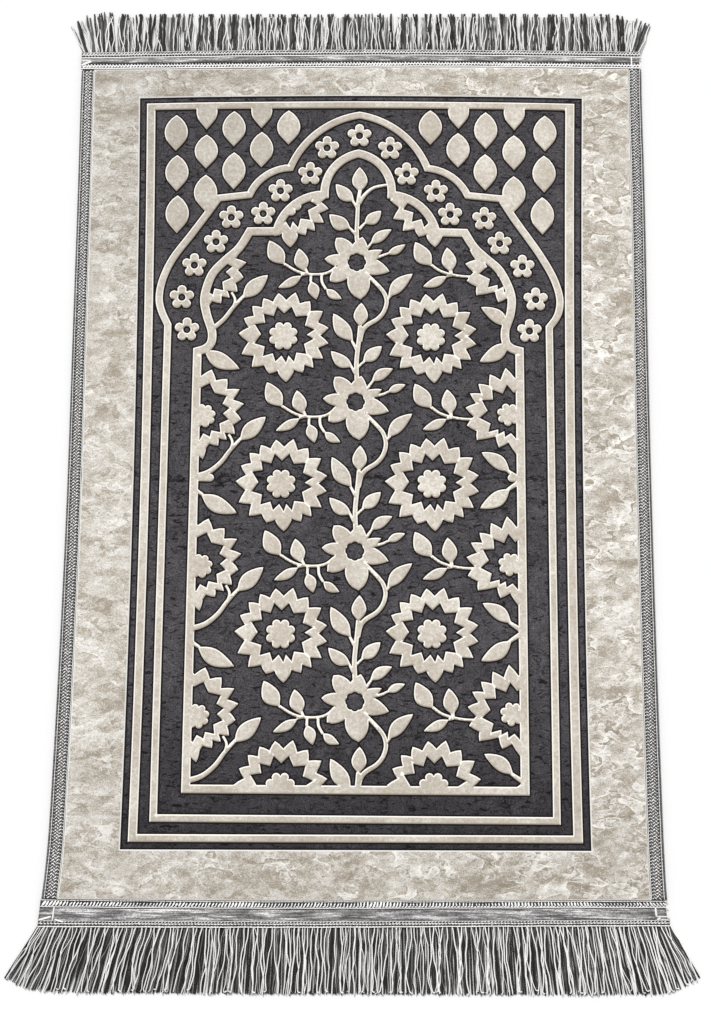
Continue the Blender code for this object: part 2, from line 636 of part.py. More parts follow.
def make_cloth():
    """The cloth: a flat back, and a face whose light figures stand higher than its clipped ground."""
    design = Design()
    points, edges = [], []
    for outline in design.outlines():
        add_outline(points, edges, outline)
    folds = [FOLD["y"] + FOLD["half_width"] * k for k in (-1, 0, 1)]
    for y in folds:
        first = len(points)
        points += [Vector((side_x(y, "left") + PIPING_W + GAP, y)), Vector((side_x(y, "right") - PIPING_W - GAP, y))]
        edges.append((first, first + 1))
    flat_points, _, triangles, *_ = delaunay_2d_cdt(points, edges, [], 1, EPSILON)
    bm = bmesh.new()
    verts = [bm.verts.new((*point, BACKING_TOP)) for point in flat_points]
    for triangle in triangles:
        face = bm.faces.new([verts[i] for i in triangle])
        middle = face.calc_center_median()
        face.material_index = design.level(middle.x, middle.y)
    merge_specks(bm)
    merge_specks(bm)

    for face in bm.faces:  # the strips between the fold's lines stay apart while flat faces are joined
        face.material_index += (PILE + 1) * sum(face.calc_center_median().y > y for y in folds)
    bm.normal_update()
    free = [v for v in bm.verts if all(f.material_index % (PILE + 1) != BACKING for f in v.link_faces)]
    bmesh.ops.dissolve_limit(bm, angle_limit=FLATTEST, verts=free, edges=bm.edges, delimit={"MATERIAL"})
    bmesh.ops.triangulate(bm, faces=bm.faces, quad_method="BEAUTY", ngon_method="BEAUTY")
    for face in bm.faces:
        face.material_index %= PILE + 1
    widen_pinches(bm)

    raise_faces(bm, [f for f in bm.faces if f.material_index != BACKING], GROUND_TOP - BACKING_TOP)
    raise_faces(bm, [f for f in bm.faces if f.material_index == PILE], PILE_TOP - GROUND_TOP)
    for vert in bm.verts:
        if vert.co.z > (BACKING_TOP + GROUND_TOP) / 2:
            vert.co.z += face_height(vert.co.x, vert.co.y)
    rim = [edge for edge in bm.edges if edge.is_boundary]
    side = bmesh.ops.extrude_edge_only(bm, edges=rim)["geom"]
    for vert in side:
        if isinstance(vert, bmesh.types.BMVert):
            vert.co.z = 0
    bmesh.ops.holes_fill(bm, edges=[edge for edge in bm.edges if edge.is_boundary], sides=0)
    return add_object(bm, "rug_cloth",
                      material("rug_backing", (0.30, 0.29, 0.28), 0.9),
                      material("charcoal_pile", (0.047, 0.044, 0.047), 0.85),
                      material("cream_pile", (0.62, 0.56, 0.47), 0.8))


def make_edging(hand, colour):
    """A side edging: a braid that laps the cloth, with a roll down the cloth's side to the floor."""
    inward = 1 if hand == "left" else -1
    near, far = (tape_y(side_x(0, hand), end, "inner") for end in ("near", "far"))
    stations = [near + 2 * GAP, *(y for y in SIDE_STATIONS if near + 3 < y < far - 3), far - 2 * GAP]
    profile = [  # distance from the rug's edge, height
        (0, 0), (PIPING_W, 0), (PIPING_W, SHEET_BOTTOM), (EDGING_W, SHEET_BOTTOM), (EDGING_W, EDGING_TOP - 0.5),
        (EDGING_W - 1.5, EDGING_TOP), (PIPING_W + 1.2, EDGING_TOP), (PIPING_W / 2, EDGING_TOP + 0.2), (0, EDGING_TOP - 0.9),
    ]
    sections = [[(side_x(y, hand) + inward * off, y, z) for off, z in profile] for y in stations]
    bm = bmesh.new()
    first = bm.faces.new([bm.verts.new(place) for place in sections[0]])
    carry(bm, first, sections[1:], keep_first=True)
    return add_object(bm, "edging_" + hand, material("braid_" + hand, colour, 0.8))


def make_tape(end, colour):
    """An end tape: a flat ribbon over the cloth's end and the fringe's strip, its ends turned down to the floor."""
    profile = [(0, SHEET_BOTTOM), (1, SHEET_BOTTOM), (1, TAPE_LIP_TOP), (0.8, TAPE_TOP), (0.2, TAPE_TOP), (0, TAPE_LIP_TOP)]

    def section(place):
        """The tape's cross-section; place gives a point's x and y from how far across the tape it is."""
        return [(*place(across), z) for across, z in profile]

    def at_end(hand, inset):
        def place(across):
            x = side_x(tape_y(0, end, "inner"), hand)
            y = tape_y(x, end, "inner") * (1 - across) + tape_y(x, end, "outer") * across
            return side_x(y, hand) + inset, y
        return place

    def at_station(x):
        return lambda across: (x, tape_y(x, end, "inner") * (1 - across) + tape_y(x, end, "outer") * across)

    sections = [section(at_end("left", 0)), section(at_end("left", TAPE_END_W))]
    sections += [section(at_station(x)) for x in END_STATIONS]
    sections += [section(at_end("right", -TAPE_END_W)), section(at_end("right", 0))]
    bm = bmesh.new()
    first = bm.faces.new([bm.verts.new(place) for place in sections[0]])
    carry(bm, first, sections[1:], keep_first=True)
    bm.normal_update()
    turned = [f for f in bm.faces if all(abs(v.co.z - SHEET_BOTTOM) < EPSILON for v in f.verts)]
    turned.sort(key=lambda f: f.calc_center_median().x)
    for face in (turned[0], turned[-1]):
        raise_faces(bm, [face], -SHEET_BOTTOM)
    return add_object(bm, "tape_" + end, material("woven_tape_" + end, colour, 0.6))


def strand_place(end, root_x, t):
    """x and y along a strand, from its root (0) to its tip (1)."""
    lean = smooth_value(FRINGES[end], root_x, "lean")
    tip = smooth_value(FRINGES[end], root_x, "tip")
    root_y = header_line(root_x, end, 0)
    waver = 0.9 * sin(root_x / 8.3) * sin(pi * t) + 1.1 * sin(root_x / 11.7 + 2) * t * t
    return root_x + lean * t + waver, root_y + (tip + 0.5 * sin(root_x * 1.9) - root_y) * t


def make_fringe(end, colour):
    """A fringe: three-sided strands drawn out of the outer side of a woven strip, all flat on the floor."""
    inset = TAPE_END_W + 2 * GAP
    inner_y = header_line(0, end, 1)
    left = max(side_x(y, "left") for y in (inner_y, header_line(0, end, 0))) + inset
    right = min(side_x(y, "right") for y in (inner_y, header_line(0, end, 0))) - inset
    pitch = (right - left) / STRANDS
    roots = [left + pitch * (i + 0.5) for i in range(STRANDS)]
    bm = bmesh.new()

    def vert(x, depth, z):
        return bm.verts.new((x, header_line(x, end, depth), z))
    feet = [(vert(x - STRAND_W / 2, 0, 0), vert(x + STRAND_W / 2, 0, 0)) for x in roots]
    tops = [vert(x, 0, HEADER_TOP) for x in roots]
    root_faces = [bm.faces.new((a, b, top)) for (a, b), top in zip(feet, tops)]
    low, high = ([vert(x, 1, z) for x in (left, *END_STATIONS, right)] for z in (0, HEADER_TOP))
    lows = [vert(left, 0, 0)] + [foot for pair in feet for foot in pair] + [vert(right, 0, 0)]
    highs = [vert(left, 0, HEADER_TOP)] + tops + [vert(right, 0, HEADER_TOP)]
    for i in range(STRANDS + 1):
        bm.faces.new((lows[2 * i], lows[2 * i + 1], highs[i + 1], highs[i]))
    for i in range(len(low) - 1):
        bm.faces.new((low[i], low[i + 1], high[i + 1], high[i]))
    bm.faces.new(lows + low[::-1])
    bm.faces.new(highs + high[::-1])
    for i in (0, -1):
        bm.faces.new((lows[i], low[i], high[i], highs[i]))
    for x, face in zip(roots, root_faces):
        sections = []
        for t in (0.4, 0.75, 1):
            middle_x, y = strand_place(end, x, t)
            half = STRAND_W / 2 * (1 - 0.15 * t)
            top = HEADER_TOP + (STRAND_TIP_TOP - HEADER_TOP) * t
            sections.append([(middle_x - half, y, 0), (middle_x + half, y, 0), (middle_x, y, top)])
        carry(bm, face, sections)
    return add_object(bm, "fringe_" + end, material("fringe_yarn_" + end, colour, 0.7))


def centre_on_origin(objects):
    """Move the finished pieces so that the rug's box stands centred on the origin."""
    places = [vert.co for item in objects for vert in item.data.vertices]
    middle = [(min(p[axis] for p in places) + max(p[axis] for p in places)) / 2 for axis in (0, 1)]
    for item in objects:
        item.data.transform(Matrix.Translation((-middle[0], -middle[1], 0)))


def main():
    for item in list(bpy.data.objects):
        bpy.data.objects.remove(item)
    pieces = [
        make_cloth(),
        make_edging("left", (0.36, 0.35, 0.34)),
        make_edging("right", (0.36, 0.35, 0.34)),
        make_tape("far", (0.39, 0.38, 0.38)),
        make_tape("near", (0.37, 0.36, 0.36)),
        make_fringe("far", (0.28, 0.27, 0.27)),
        make_fringe("near", (0.22, 0.21, 0.21)),
    ]
    centre_on_origin(pieces)


main()
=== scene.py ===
"""Prayer rug: a cut-pile cloth with an arch design, braided sides, taped ends and fringes, on a pale floor.

The rug is laid out in millimetres as it lies: x to the right, y towards the far end, z up from the floor.
"""

from collections import namedtuple
from math import atan2, cos, hypot, pi, radians, sin, sqrt

import bmesh
import bpy
import numpy as np
from bpy.props import FloatProperty, FloatVectorProperty, IntProperty, PointerProperty
from mathutils import Matrix, Vector, kdtree, noise
from mathutils.bvhtree import BVHTree
from mathutils.geometry import delaunay_2d_cdt


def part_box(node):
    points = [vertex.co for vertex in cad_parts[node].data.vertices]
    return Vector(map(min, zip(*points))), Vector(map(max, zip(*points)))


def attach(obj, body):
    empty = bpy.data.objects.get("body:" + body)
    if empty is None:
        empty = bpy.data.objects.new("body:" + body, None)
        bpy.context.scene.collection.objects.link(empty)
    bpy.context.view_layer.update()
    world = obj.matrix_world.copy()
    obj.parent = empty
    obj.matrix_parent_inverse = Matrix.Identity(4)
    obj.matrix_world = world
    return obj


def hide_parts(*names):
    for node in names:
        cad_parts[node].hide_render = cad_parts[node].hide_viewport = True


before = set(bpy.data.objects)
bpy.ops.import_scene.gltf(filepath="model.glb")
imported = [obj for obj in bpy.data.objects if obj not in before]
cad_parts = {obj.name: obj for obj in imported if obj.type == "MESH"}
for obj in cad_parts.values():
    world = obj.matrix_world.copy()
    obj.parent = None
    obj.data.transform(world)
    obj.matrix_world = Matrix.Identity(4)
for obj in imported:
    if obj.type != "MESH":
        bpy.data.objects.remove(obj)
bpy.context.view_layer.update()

bl_info = {
    "name": "Prayer rug",
    "version": (1, 0, 0),
    "blender": (4, 5, 0),
    "location": "3D View > Sidebar > Rug",
    "description": "Builds a cut-pile prayer rug with braided sides, taped ends and fringes",
    "category": "Add Mesh",
}

MM = 0.001  # metres in a millimetre
BODY = "root"


def table(kind, *rows):
    """Rows of values under the names of their kind."""
    return [kind(*row) for row in rows]


# ---------------------------------------------------------------- heights of the lying rug (mm)
BACKING_TOP = 2.0
GROUND_TOP = 3.0
PILE_TOP = 4.4
SHEET_BOTTOM = 2.3  # underside of the edging and the tapes

# ---------------------------------------------------------------- widths (mm)
GAP = 0.3
EDGING_W = 15.0
PIPING_W = 2.3
HEADER_W = 7.0
HEADER_SET_BACK = 0.9

# ---------------------------------------------------------------- the rug's outline, as uneven as it lies
Side = namedtuple("Side", "y left right")
SIDES = table(Side,
    (-526, -358.9, 353.8), (-490, -354.2, 349.3), (-440, -350.1, 347.1), (-360, -347.4, 345.4),
    (-200, -343.9, 342.9), (-30, -341.7, 341.1), (140, -341.5, 340.3), (350, -341.2, 340.0),
    (470, -341.6, 338.9), (516, -341.0, 339.6))
Tape = namedtuple("Tape", "x inner outer")
TAPES = {
    "far": table(Tape,
        (-342, 487.0, 508.5), (-200, 489.0, 512.0), (-60, 491.5, 514.5), (100, 493.5, 515.8),
        (341, 493.0, 515.0)),
    "near": table(Tape,
        (-360, -495.6, -526.0), (-150, -496.0, -525.2), (0, -495.2, -524.0), (150, -494.0, -522.0),
        (355, -492.0, -520.0)),
}
Strand = namedtuple("Strand", "x lean tip")  # root, sideways shift of the tip, y of the tip
FRINGES = {
    "far": table(Strand,
        (-335, -17, 550), (-327, -8, 557), (-290, -2, 558), (-150, 0, 559), (60, 0, 561), (230, 1, 562),
        (318, 3, 560), (334, 16, 554)),
    "near": table(Strand,
        (-352, -42, -594), (-343, -34, -599), (-310, -22, -600), (-220, -15, -599), (-120, -4, -598),
        (60, 1, -597), (190, 7, -597), (290, 17, -597), (335, 28, -595), (348, 37, -587)),
}
FOLD = {"y": -14.0, "half_width": 7.0, "depth": 0.9}  # the crease that the rug was folded at

# ---------------------------------------------------------------- the design's frame (mm)
Frame = namedtuple("Frame", "left right bottom top")
FIELD_EDGE = Frame(-267.5, 264.5, -439.8, 451.6)  # where the border's light pile ends
BAND_OUTER = Frame(-259.0, 255.3, -431.3, 444.6)
BAND_INNER = Frame(-248.9, 244.6, -422.8, 436.2)
OUTER_ARCH = {
    "legs": Frame(-231.2, 226.3, -405.2, None),
    "band": (8.5, 8.3),  # width of the band's legs and of its foot
    "left": (
        [((-3, 431.2), (-55, 407.5), (-86, 364.3)), ((-86, 364.3), (-115, 354.5), (-134.5, 330))],
        [(-171.5, 325.5), (-187, 303), (-204, 279), (-224.5, 250.5), (-236, 225), (-239.9, 203),
         (-237, 186.5), (-228.8, 168.8)],
    ),
    "right": (
        [((-3, 431.2), (48, 408), (79, 364.6)), ((79, 364.6), (107, 355), (127.5, 331))],
        [(167.3, 327.3), (184, 301), (200, 278), (216, 254), (230, 228), (236.7, 204), (234, 184),
         (223.8, 169)],
    ),
}
INNER_ARCH = {
    "legs": Frame(-195.2, 190.6, -372.4, None),
    "band": (10.0, 9.6),
    "left": (
        [((-4, 382.6), (-31, 367.5), (-44.5, 331)), ((-44.5, 331), (-83, 316), (-101.5, 284.6))],
        [(-133.5, 284.2), (-146, 263.5), (-163, 247.5), (-178, 230), (-186, 203), (-183, 182), (-176.3, 161),
         (-177.2, 147), (-184, 140), (-193, 136.8)],
    ),
    "right": (
        [((-4, 382.6), (23.5, 367.5), (36, 331)), ((36, 331), (71, 316.5), (89.5, 285))],
        [(124, 284.3), (135, 266.5), (149, 253), (166, 237), (178.5, 209), (178, 186), (171.5, 165),
         (172.5, 150), (179, 143), (188.2, 140)],
    ),
}

# ---------------------------------------------------------------- the design's motifs (mm)
Spot = namedtuple("Spot", "x y")
FLORETS = table(Spot,  # between the two arches
    (-3, 405), (-42, 389.5), (-62, 356.8), (-97.5, 335), (-117.8, 306.3), (-156, 301.5), (-173.7, 271),
    (-199, 242), (-213, 202.5), (-206, 163), (34, 389.3), (54, 357), (89.3, 335.5), (106.3, 307),
    (147.3, 302), (165.5, 271.5), (192.5, 243), (208, 202.8), (200.3, 164.3))
FLORET = {"ring": 9.3, "petal": 5.6, "petals": 5, "steps": 6, "hole": 4.5}
Drop = namedtuple("Drop", "x top bottom width")
DROPS = table(Drop,  # in the corners above the arch
    (-224.5, 429.5, 384.5, 28), (-222.5, 379, 334, 28), (-221, 328.5, 281.5, 28), (-187.9, 456, 411.5, 25.5),
    (-187.7, 405, 362.5, 28), (-187.5, 354.5, 309, 28), (-154.7, 435, 390.5, 28), (-154, 383, 336.5, 28),
    (-121.6, 457, 414, 25.5), (-121, 409, 364.5, 28), (-88.7, 436.5, 393.5, 28), (82.6, 438, 394.5, 28),
    (116.7, 458, 415, 25.5), (116, 409.5, 366, 28), (149.5, 436, 389.5, 28), (148.7, 383, 337.5, 28),
    (184.2, 457, 413.5, 25.5), (183.5, 407, 363.5, 28), (183, 355.5, 311, 28), (221, 432, 387, 28),
    (219.5, 381.5, 335.5, 28), (217, 329.5, 283, 28))
Rosette = namedtuple("Rosette", "x y size")
ROSETTES = table(Rosette,
    (-88, 321.5, 0.92), (-90.8, 157, 1), (-91, -20.3, 1), (-89, -195.3, 1), (-87, -369.5, 1), (85, 323, 0.94),
    (84.2, 157, 1), (85.3, -19, 1.03), (85.5, -194, 1), (87.5, -368.5, 1))
LEFT_HALF_ROSETTES = table(Spot, (-191, 235), (-191, 63), (-191, -114.5), (-191, -287))
RIGHT_HALF_ROSETTES = table(Spot, (180, 236), (179.8, 61), (180.3, -116), (181.3, -288))
Ray = namedtuple("Ray", "angle length")  # degrees from the right, anticlockwise
ROSETTE_PETALS = table(Ray,
    (98, 52), (76, 54), (54, 51.5), (33, 54.5), (10, 53.5), (-10, 53.5), (-31, 54.5), (-48, 52.5),
    (-63, 50.5), (-86, 53), (-110, 49.5), (-134, 54), (-155, 55), (-182, 54), (-203, 52), (-223, 52),
    (-241, 51.5))
ROSETTE_STAR = table(Ray,
    (104, 36), (76, 36), (41, 37), (11, 37.5), (-7, 35.5), (-40, 35), (-69, 34.5), (-85, 33.5), (-107, 33.5),
    (-134, 35.5), (-164, 36.5), (-201, 37.5), (-227, 36))
LEFT_PETALS = table(Ray,
    (98, 52), (73.5, 54), (50, 53), (30, 56.5), (11.5, 55), (-8.5, 51.5), (-30, 50.7), (-43, 47.5),
    (-58, 46.5), (-80, 46), (-100, 50), (180, 40))
LEFT_STAR = table(Ray,
    (100, 38), (69, 38), (31, 39.5), (8.5, 38), (-12.5, 37.5), (-41, 36), (-63, 32.5), (-85, 33), (-120, 34),
    (180, 36))
HALF_PETALS = table(Ray,
    (75, 55), (98, 59), (118, 57.2), (136, 56), (151.5, 57.3), (169.5, 56.5), (191.6, 55.2), (213.8, 51),
    (246, 40.5), (275, 45), (300, 46), (0, 50))
HALF_STAR = table(Ray,
    (75, 37), (100, 39), (127, 40.5), (152, 41.5), (183, 39.5), (213, 34.5), (231, 27.5), (249, 26.5),
    (278, 27), (330, 30))
Daisy = namedtuple("Daisy", "x y pitch lift")  # middle, distance to the next, lift of its side branches
DAISIES = table(Daisy,
    (-5.5, 247.5, 169, 3), (-5.7, 77.5, 176.8, 0), (-5.3, -99.3, 173.5, 0.7), (-4, -272.5, 173, 0))
FULL_PITCH = 176.8
Petal = namedtuple("Petal", "x y width")  # tip from the daisy's middle
DAISY_PETALS = table(Petal,
    (7, 31, 21), (-24.5, 29.5, 20), (-38, 3.5, 15), (-31.5, -24, 19), (5, -46, 27), (39.5, -11.5, 20),
    (31, 15, 13))
Leaf = namedtuple("Leaf", "x y tip_x tip_y width bend blunt", defaults=[False])
Stem = namedtuple("Stem", "start_w end_w points")
VINE = [  # from the middle of the daisy above
    Leaf(5, -83, 6.2, -52.5, 17, 0), Leaf(-3.5, -101.5, -27, -66.5, 18.5, 2),
    Leaf(-3.5, -134, -29.5, -114.5, 15, 2.5), Leaf(8.5, -127.5, 30.5, -107.5, 15, -0.5),
    Leaf(19, -152, 44, -136, 13, 1.5), Leaf(38, -165.5, 59, -156, 9.5, 0.3), Leaf(38, -43, 67, -14, 15.5, 2),
    Stem(5, 5.5, [(5, -82), (3.5, -100), (1, -125), (1, -140), (2, -158)]),
    Stem(4.2, 5.5, [(12, -15), (18.7, -21.5), (27, -30), (33.5, -38.5), (36.3, -51), (32.8, -64),
                    (25, -73.5), (14, -80.5), (7.5, -88.5), (4.5, -102)]),
    Stem(2.5, 3, [(36.5, -47), (41, -41)]), Stem(2.5, 4, [(-5, -101), (1, -112)]),
    Stem(2.5, 4, [(-5.5, -133), (0, -143)]), Stem(2.5, 3, [(10, -127), (3, -134)]),
    Stem(2.5, 4, [(21, -151), (16, -158), (11, -166)]),
    Stem(2.5, 4, [(39, -165), (32, -168.5), (22, -170.5), (14, -172)]),
]
BRANCHES = [  # beside the daisy
    Leaf(-86, -6.5, -104.5, 22.5, 20, 2), Leaf(-61.5, -15, -69, 13, 17, 1),
    Leaf(-65, -20.5, -93, -35.5, 11, 1), Leaf(-54.5, -27, -47.5, -49.5, 13.5, 0.5),
    Leaf(-36, -36.5, -17.5, -48.5, 10.5, -1.5), Leaf(89.5, -7, 70, 22, 20, 2),
    Leaf(112.5, -15, 108, 15.5, 17.5, 0), Leaf(108, -20, 79.5, -33, 11.5, 1),
    Stem(3, 3, [(-24, -9), (-33, -16), (-45, -18.7), (-60, -18), (-72, -14.5), (-86, -6)]),
    Stem(3.5, 3, [(-61, -12), (-58, -18)]), Stem(2.5, 3, [(-66, -20), (-58, -18)]),
    Stem(2.8, 3, [(-54, -18), (-54.5, -28)]), Stem(3, 3, [(-41.5, -18), (-41, -28), (-36, -37)]),
    Stem(3.2, 2.8, [(89.5, -6), (99, -13), (112, -17.5), (128, -20), (140, -20)]),
    Stem(4, 4, [(112, -10), (113, -18)]), Stem(2.5, 4, [(108, -20), (113, -18)]),
]
CROWN = [  # in the arch's head, from the design's origin
    Leaf(-2, 334, -2.5, 365.5, 18.5, 0), Leaf(-9, 322.5, -31, 344, 16, 1.5),
    Leaf(-13, 289.5, -38.5, 306, 17.5, 2.5), Leaf(3.5, 295, 23.5, 311, 14.5, -1.5),
    Leaf(11, 270, 36, 288, 12.5, 1), Leaf(31, 257.5, 53, 269.5, 9.5, -1),
    Stem(4, 5.5, [(-2, 336), (-4, 322), (-5, 300), (-5.5, 280), (-4, 270)]),
    Stem(5, 3, [(-3, 320), (4, 331), (15, 340), (31, 343.5)]), Stem(2.5, 4, [(-11, 324), (-4.5, 314)]),
    Stem(2.5, 4, [(-15, 290.5), (-6, 281)]), Stem(2.5, 4, [(4.5, 296), (-2.5, 288)]),
    Stem(2.5, 3, [(12, 271), (7, 264)]), Stem(2.5, 3.5, [(33, 258.5), (26, 256), (16, 252)]),
]
LEFT_SIDE = [  # by a half rosette
    Leaf(50, -33, 80, -4.5, 18, 0.3), Leaf(6, -97, 48, -119, 19, -2),
    Stem(6.5, 3.6, [(-4, -76), (6, -74), (17, -69), (29, -58.5), (38, -46), (46, -36.5), (52, -30)]),
    Stem(3, 2.6, [(38.5, -45), (41, -39), (41, -33), (37, -26)]),
    Stem(5, 3.5, [(-4, -88), (1, -93), (8, -97.5)]),
]
RIGHT_SIDE = [
    Leaf(-4, -66, -37, -43, 16, -2), Leaf(-4, -86, -39, -109.5, 17.5, 2),
    Stem(3, 6, [(-9, -62.5), (-2, -68), (9, -75)]), Stem(3.2, 6, [(-9, -89), (-2, -84), (9, -77)]),
]
FOLD_STUBS = [Stem(9.6, 8.8, [(-196, -13.5), (-185, -14), (-175, -14.5)]), Stem(9, 9, [(192, -12),
                                                                                       (178, -12)])]
FOLD_BUDS = table(Spot, (-175, -14.4), (178, -12))

# ---------------------------------------------------------------- creases of the border's velvet (mm)
# x and y are the middle, the angle is in degrees from the right, and a lift under 0 makes a furrow
Crease = namedtuple("Crease", "x y angle length width lift")
CRUSH = {"left": (48, 26, 1.3), "right": (34, 40, 2.3)}  # size of the puckers along x and y, and height
CREASES = table(Crease,
    (306, -105, 62, 44, 3.4, 0.9), (296, -150, 100, 52, 3.0, -0.9), (314, -170, 78, 60, 3.6, 1.0),
    (300, -215, 55, 46, 3.4, 0.9), (288, -240, 95, 44, 3.0, -0.8), (312, -262, 70, 54, 3.6, 1.0),
    (296, -300, 48, 50, 3.4, 0.9), (318, -318, 95, 46, 3.0, -0.8), (300, -352, 64, 56, 3.8, 1.0),
    (286, -388, 84, 44, 3.2, -0.8), (312, -404, 58, 48, 3.4, 0.9), (296, -446, 40, 46, 3.6, 0.8),
    (-304, 420, 8, 44, 4.5, -0.6), (-296, 372, -12, 40, 4.5, 0.6), (-306, 318, 6, 42, 4.5, -0.6),
    (-300, 262, -6, 44, 4.5, 0.6), (-304, 206, 10, 40, 4.5, -0.6), (-298, 150, -8, 44, 4.5, 0.6),
    (-304, 92, 4, 42, 4.5, -0.6), (-300, 36, -10, 44, 4.5, 0.6), (-304, -20, 6, 42, 4.5, -0.6),
    (-300, -76, -4, 44, 4.5, 0.6), (-306, -132, 10, 40, 4.5, -0.6), (-300, -190, -8, 44, 4.5, 0.6),
    (-306, -250, 6, 42, 4.5, -0.6), (-304, -310, -6, 46, 4.5, 0.6), (-310, -372, 8, 42, 4.5, -0.6))


# ---------------------------------------------------------------- colours
def from_hex(code):
    """Linear red, green and blue of an sRGB colour written as six hex digits."""
    parts = [int(code[i:i + 2], 16) / 255 for i in (0, 2, 4)]
    return tuple(part / 12.92 if part <= 0.04045 else ((part + 0.055) / 1.055) ** 2.4 for part in parts)


def colour_prop(name, description, code):
    return FloatVectorProperty(name=name, description=description, subtype="COLOR", size=3, min=0, max=1,
                               default=from_hex(code))


def length_prop(name, description, millimetres):
    return FloatProperty(name=name, description=description, unit="LENGTH", precision=5,
                         default=millimetres * MM, min=0)


class RUG_PG_pile(bpy.types.PropertyGroup):
    """Sizes and colours of the cut-pile cloth."""

    contour_step: length_prop("Contour step", "Distance between points along the design's outlines", 2.9)
    border_grid: length_prop("Border grid", "Distance between the border's points", 3.7)
    field_grid: length_prop("Field grid", "Distance between the field's points", 5.1)
    charcoal: colour_prop("Charcoal", "Clipped ground pile", "4a474a")
    # painted shadow: the near black that the ground takes at the figures' foot, in place of their shade
    outline: colour_prop("Outline", "Shadowed foot of the figures", "161316")
    cream: colour_prop("Cream", "Full pile of the figures", "cbc3b7")
    # painted shade on the figures' edges that face away from the light; also the tan of their random mottle
    cream_shade: colour_prop("Cream shade", "Lower edge and hollows of the figures", "ada191")
    # painted highlight on the figures' edges that face the light
    rim: colour_prop("Rim", "Pile at the figures' edges, turned to the light", "fbf6ec")
    border: colour_prop("Border", "Crushed velvet of the border", "c8c1b6")
    # painted shade on the border where its relief and creases face away from the light; also its darker
    # random tone
    border_shade: colour_prop("Border shade", "Border pile brushed away from the light", "a69c8d")
    # painted highlight on the border where its relief and creases face the light, and along its edges; also
    # its lighter random tone
    border_light: colour_prop("Border light", "Border pile brushed towards the light", "e9e7e2")
    backing: colour_prop("Backing", "Woven back of the cloth", "8d8a86")


class RUG_PG_trim(bpy.types.PropertyGroup):
    """Sizes and colours of the edgings, the tapes and the fringes."""

    stitch_pitch: length_prop("Stitch pitch", "Distance between the braid's stitches", 3.7)
    light_yarn: colour_prop("Light yarn", "Bleached yarn of braid and fringe", "faf9f7")
    dark_yarn: colour_prop("Dark yarn", "Black yarn of braid and fringe", "1c181a")
    satin: colour_prop("Satin", "Ribbon along the ends", "999797")
    seed: IntProperty(name="Seed", description="Seed of the fringe's and the stitches' unevenness", default=7)


class RUG_PG_stage(bpy.types.PropertyGroup):
    """Floor, light and camera."""

    floor: colour_prop("Floor", "Matt pale floor", "f4f4f4")
    key: FloatProperty(name="Key light", description="Strength of the light from the far side", default=2.2,
                       min=0)
    fill: FloatProperty(name="Fill light", description="Strength of the even light", default=0.64, min=0)
    lens: FloatProperty(name="Lens", description="Focal length", default=50.0, unit="CAMERA")


# ---------------------------------------------------------------- curves and outlines
def smooth_value(rows, at, column):
    """A table's column as a smooth function of its first column, held at both ends."""
    keys = [row[0] for row in rows]
    values = [getattr(row, column) for row in rows]
    if at <= keys[0]:
        return values[0]
    if at >= keys[-1]:
        return values[-1]
    slopes = [(b - a) / (q - p) for a, b, p, q in zip(values, values[1:], keys, keys[1:])]
    tangents = [slopes[0]] + [(a + b) / 2 for a, b in zip(slopes, slopes[1:])] + [slopes[-1]]
    k = next(i for i in range(len(keys) - 1) if at <= keys[i + 1])
    span = keys[k + 1] - keys[k]
    t = (at - keys[k]) / span
    rise = values[k + 1] - values[k]
    start, end = tangents[k] * span - rise, rise - tangents[k + 1] * span
    return values[k] + rise * t + t * (1 - t) * (start * (1 - t) + end * t)


def column_curve(rows, column):
    """A table's column as a function of whole arrays."""
    keys = np.linspace(rows[0][0], rows[-1][0], 400)
    values = np.array([smooth_value(rows, key, column) for key in keys])
    return lambda at: np.interp(at, keys, values)


SIDE_X = {hand: column_curve(SIDES, hand) for hand in ("left", "right")}
TAPE_Y = {(end, edge): column_curve(TAPES[end], edge) for end in TAPES for edge in ("inner", "outer")}
LEAN = {end: column_curve(FRINGES[end], "lean") for end in FRINGES}
TIP = {end: column_curve(FRINGES[end], "tip") for end in FRINGES}


def arc_through(start, middle, end, steps):
    """Points of the circle's arc through three points."""
    (ax, ay), (bx, by), (cx, cy) = start, middle, end
    double_area = 2 * (ax * (by - cy) + bx * (cy - ay) + cx * (ay - by))
    a2, b2, c2 = ax * ax + ay * ay, bx * bx + by * by, cx * cx + cy * cy
    ux = (a2 * (by - cy) + b2 * (cy - ay) + c2 * (ay - by)) / double_area
    uy = (a2 * (cx - bx) + b2 * (ax - cx) + c2 * (bx - ax)) / double_area
    radius = hypot(ax - ux, ay - uy)
    first, last = atan2(ay - uy, ax - ux), atan2(cy - uy, cx - ux)
    turn = (last - first + pi) % (2 * pi) - pi  # these arcs are all under half a circle
    return [(ux + radius * cos(first + turn * i / steps), uy + radius * sin(first + turn * i / steps))
            for i in range(steps + 1)]


def spline(points, steps):
    """A Catmull-Rom curve through the points."""
    ends = [points[0], *points, points[-1]]
    out = []
    for p0, p1, p2, p3 in zip(ends, ends[1:], ends[2:], ends[3:]):
        for i in range(steps):
            t = i / steps
            out.append(tuple(
                0.5 * (2 * b + (c - a) * t + (2 * a - 5 * b + 4 * c - d) * t * t
                       + (3 * b - a - 3 * c + d) * t ** 3)
                for a, b, c, d in zip(p0, p1, p2, p3)))
    return out + [points[-1]]


def left_of(path, distances):
    """The path moved to its left by a distance for each point, mitred at its corners."""
    ways = []
    for (ax, ay), (bx, by) in zip(path, path[1:]):
        length = hypot(bx - ax, by - ay)
        ways.append((-(by - ay) / length, (bx - ax) / length))
    out = []
    for (x, y), before, after, distance in zip(path, [ways[0]] + ways, ways + [ways[-1]], distances):
        nx, ny = before[0] + after[0], before[1] + after[1]
        length = hypot(nx, ny)
        nx, ny = nx / length, ny / length
        mitre = distance / max(nx * before[0] + ny * before[1], 0.5)
        out.append((x + nx * mitre, y + ny * mitre))
    return out


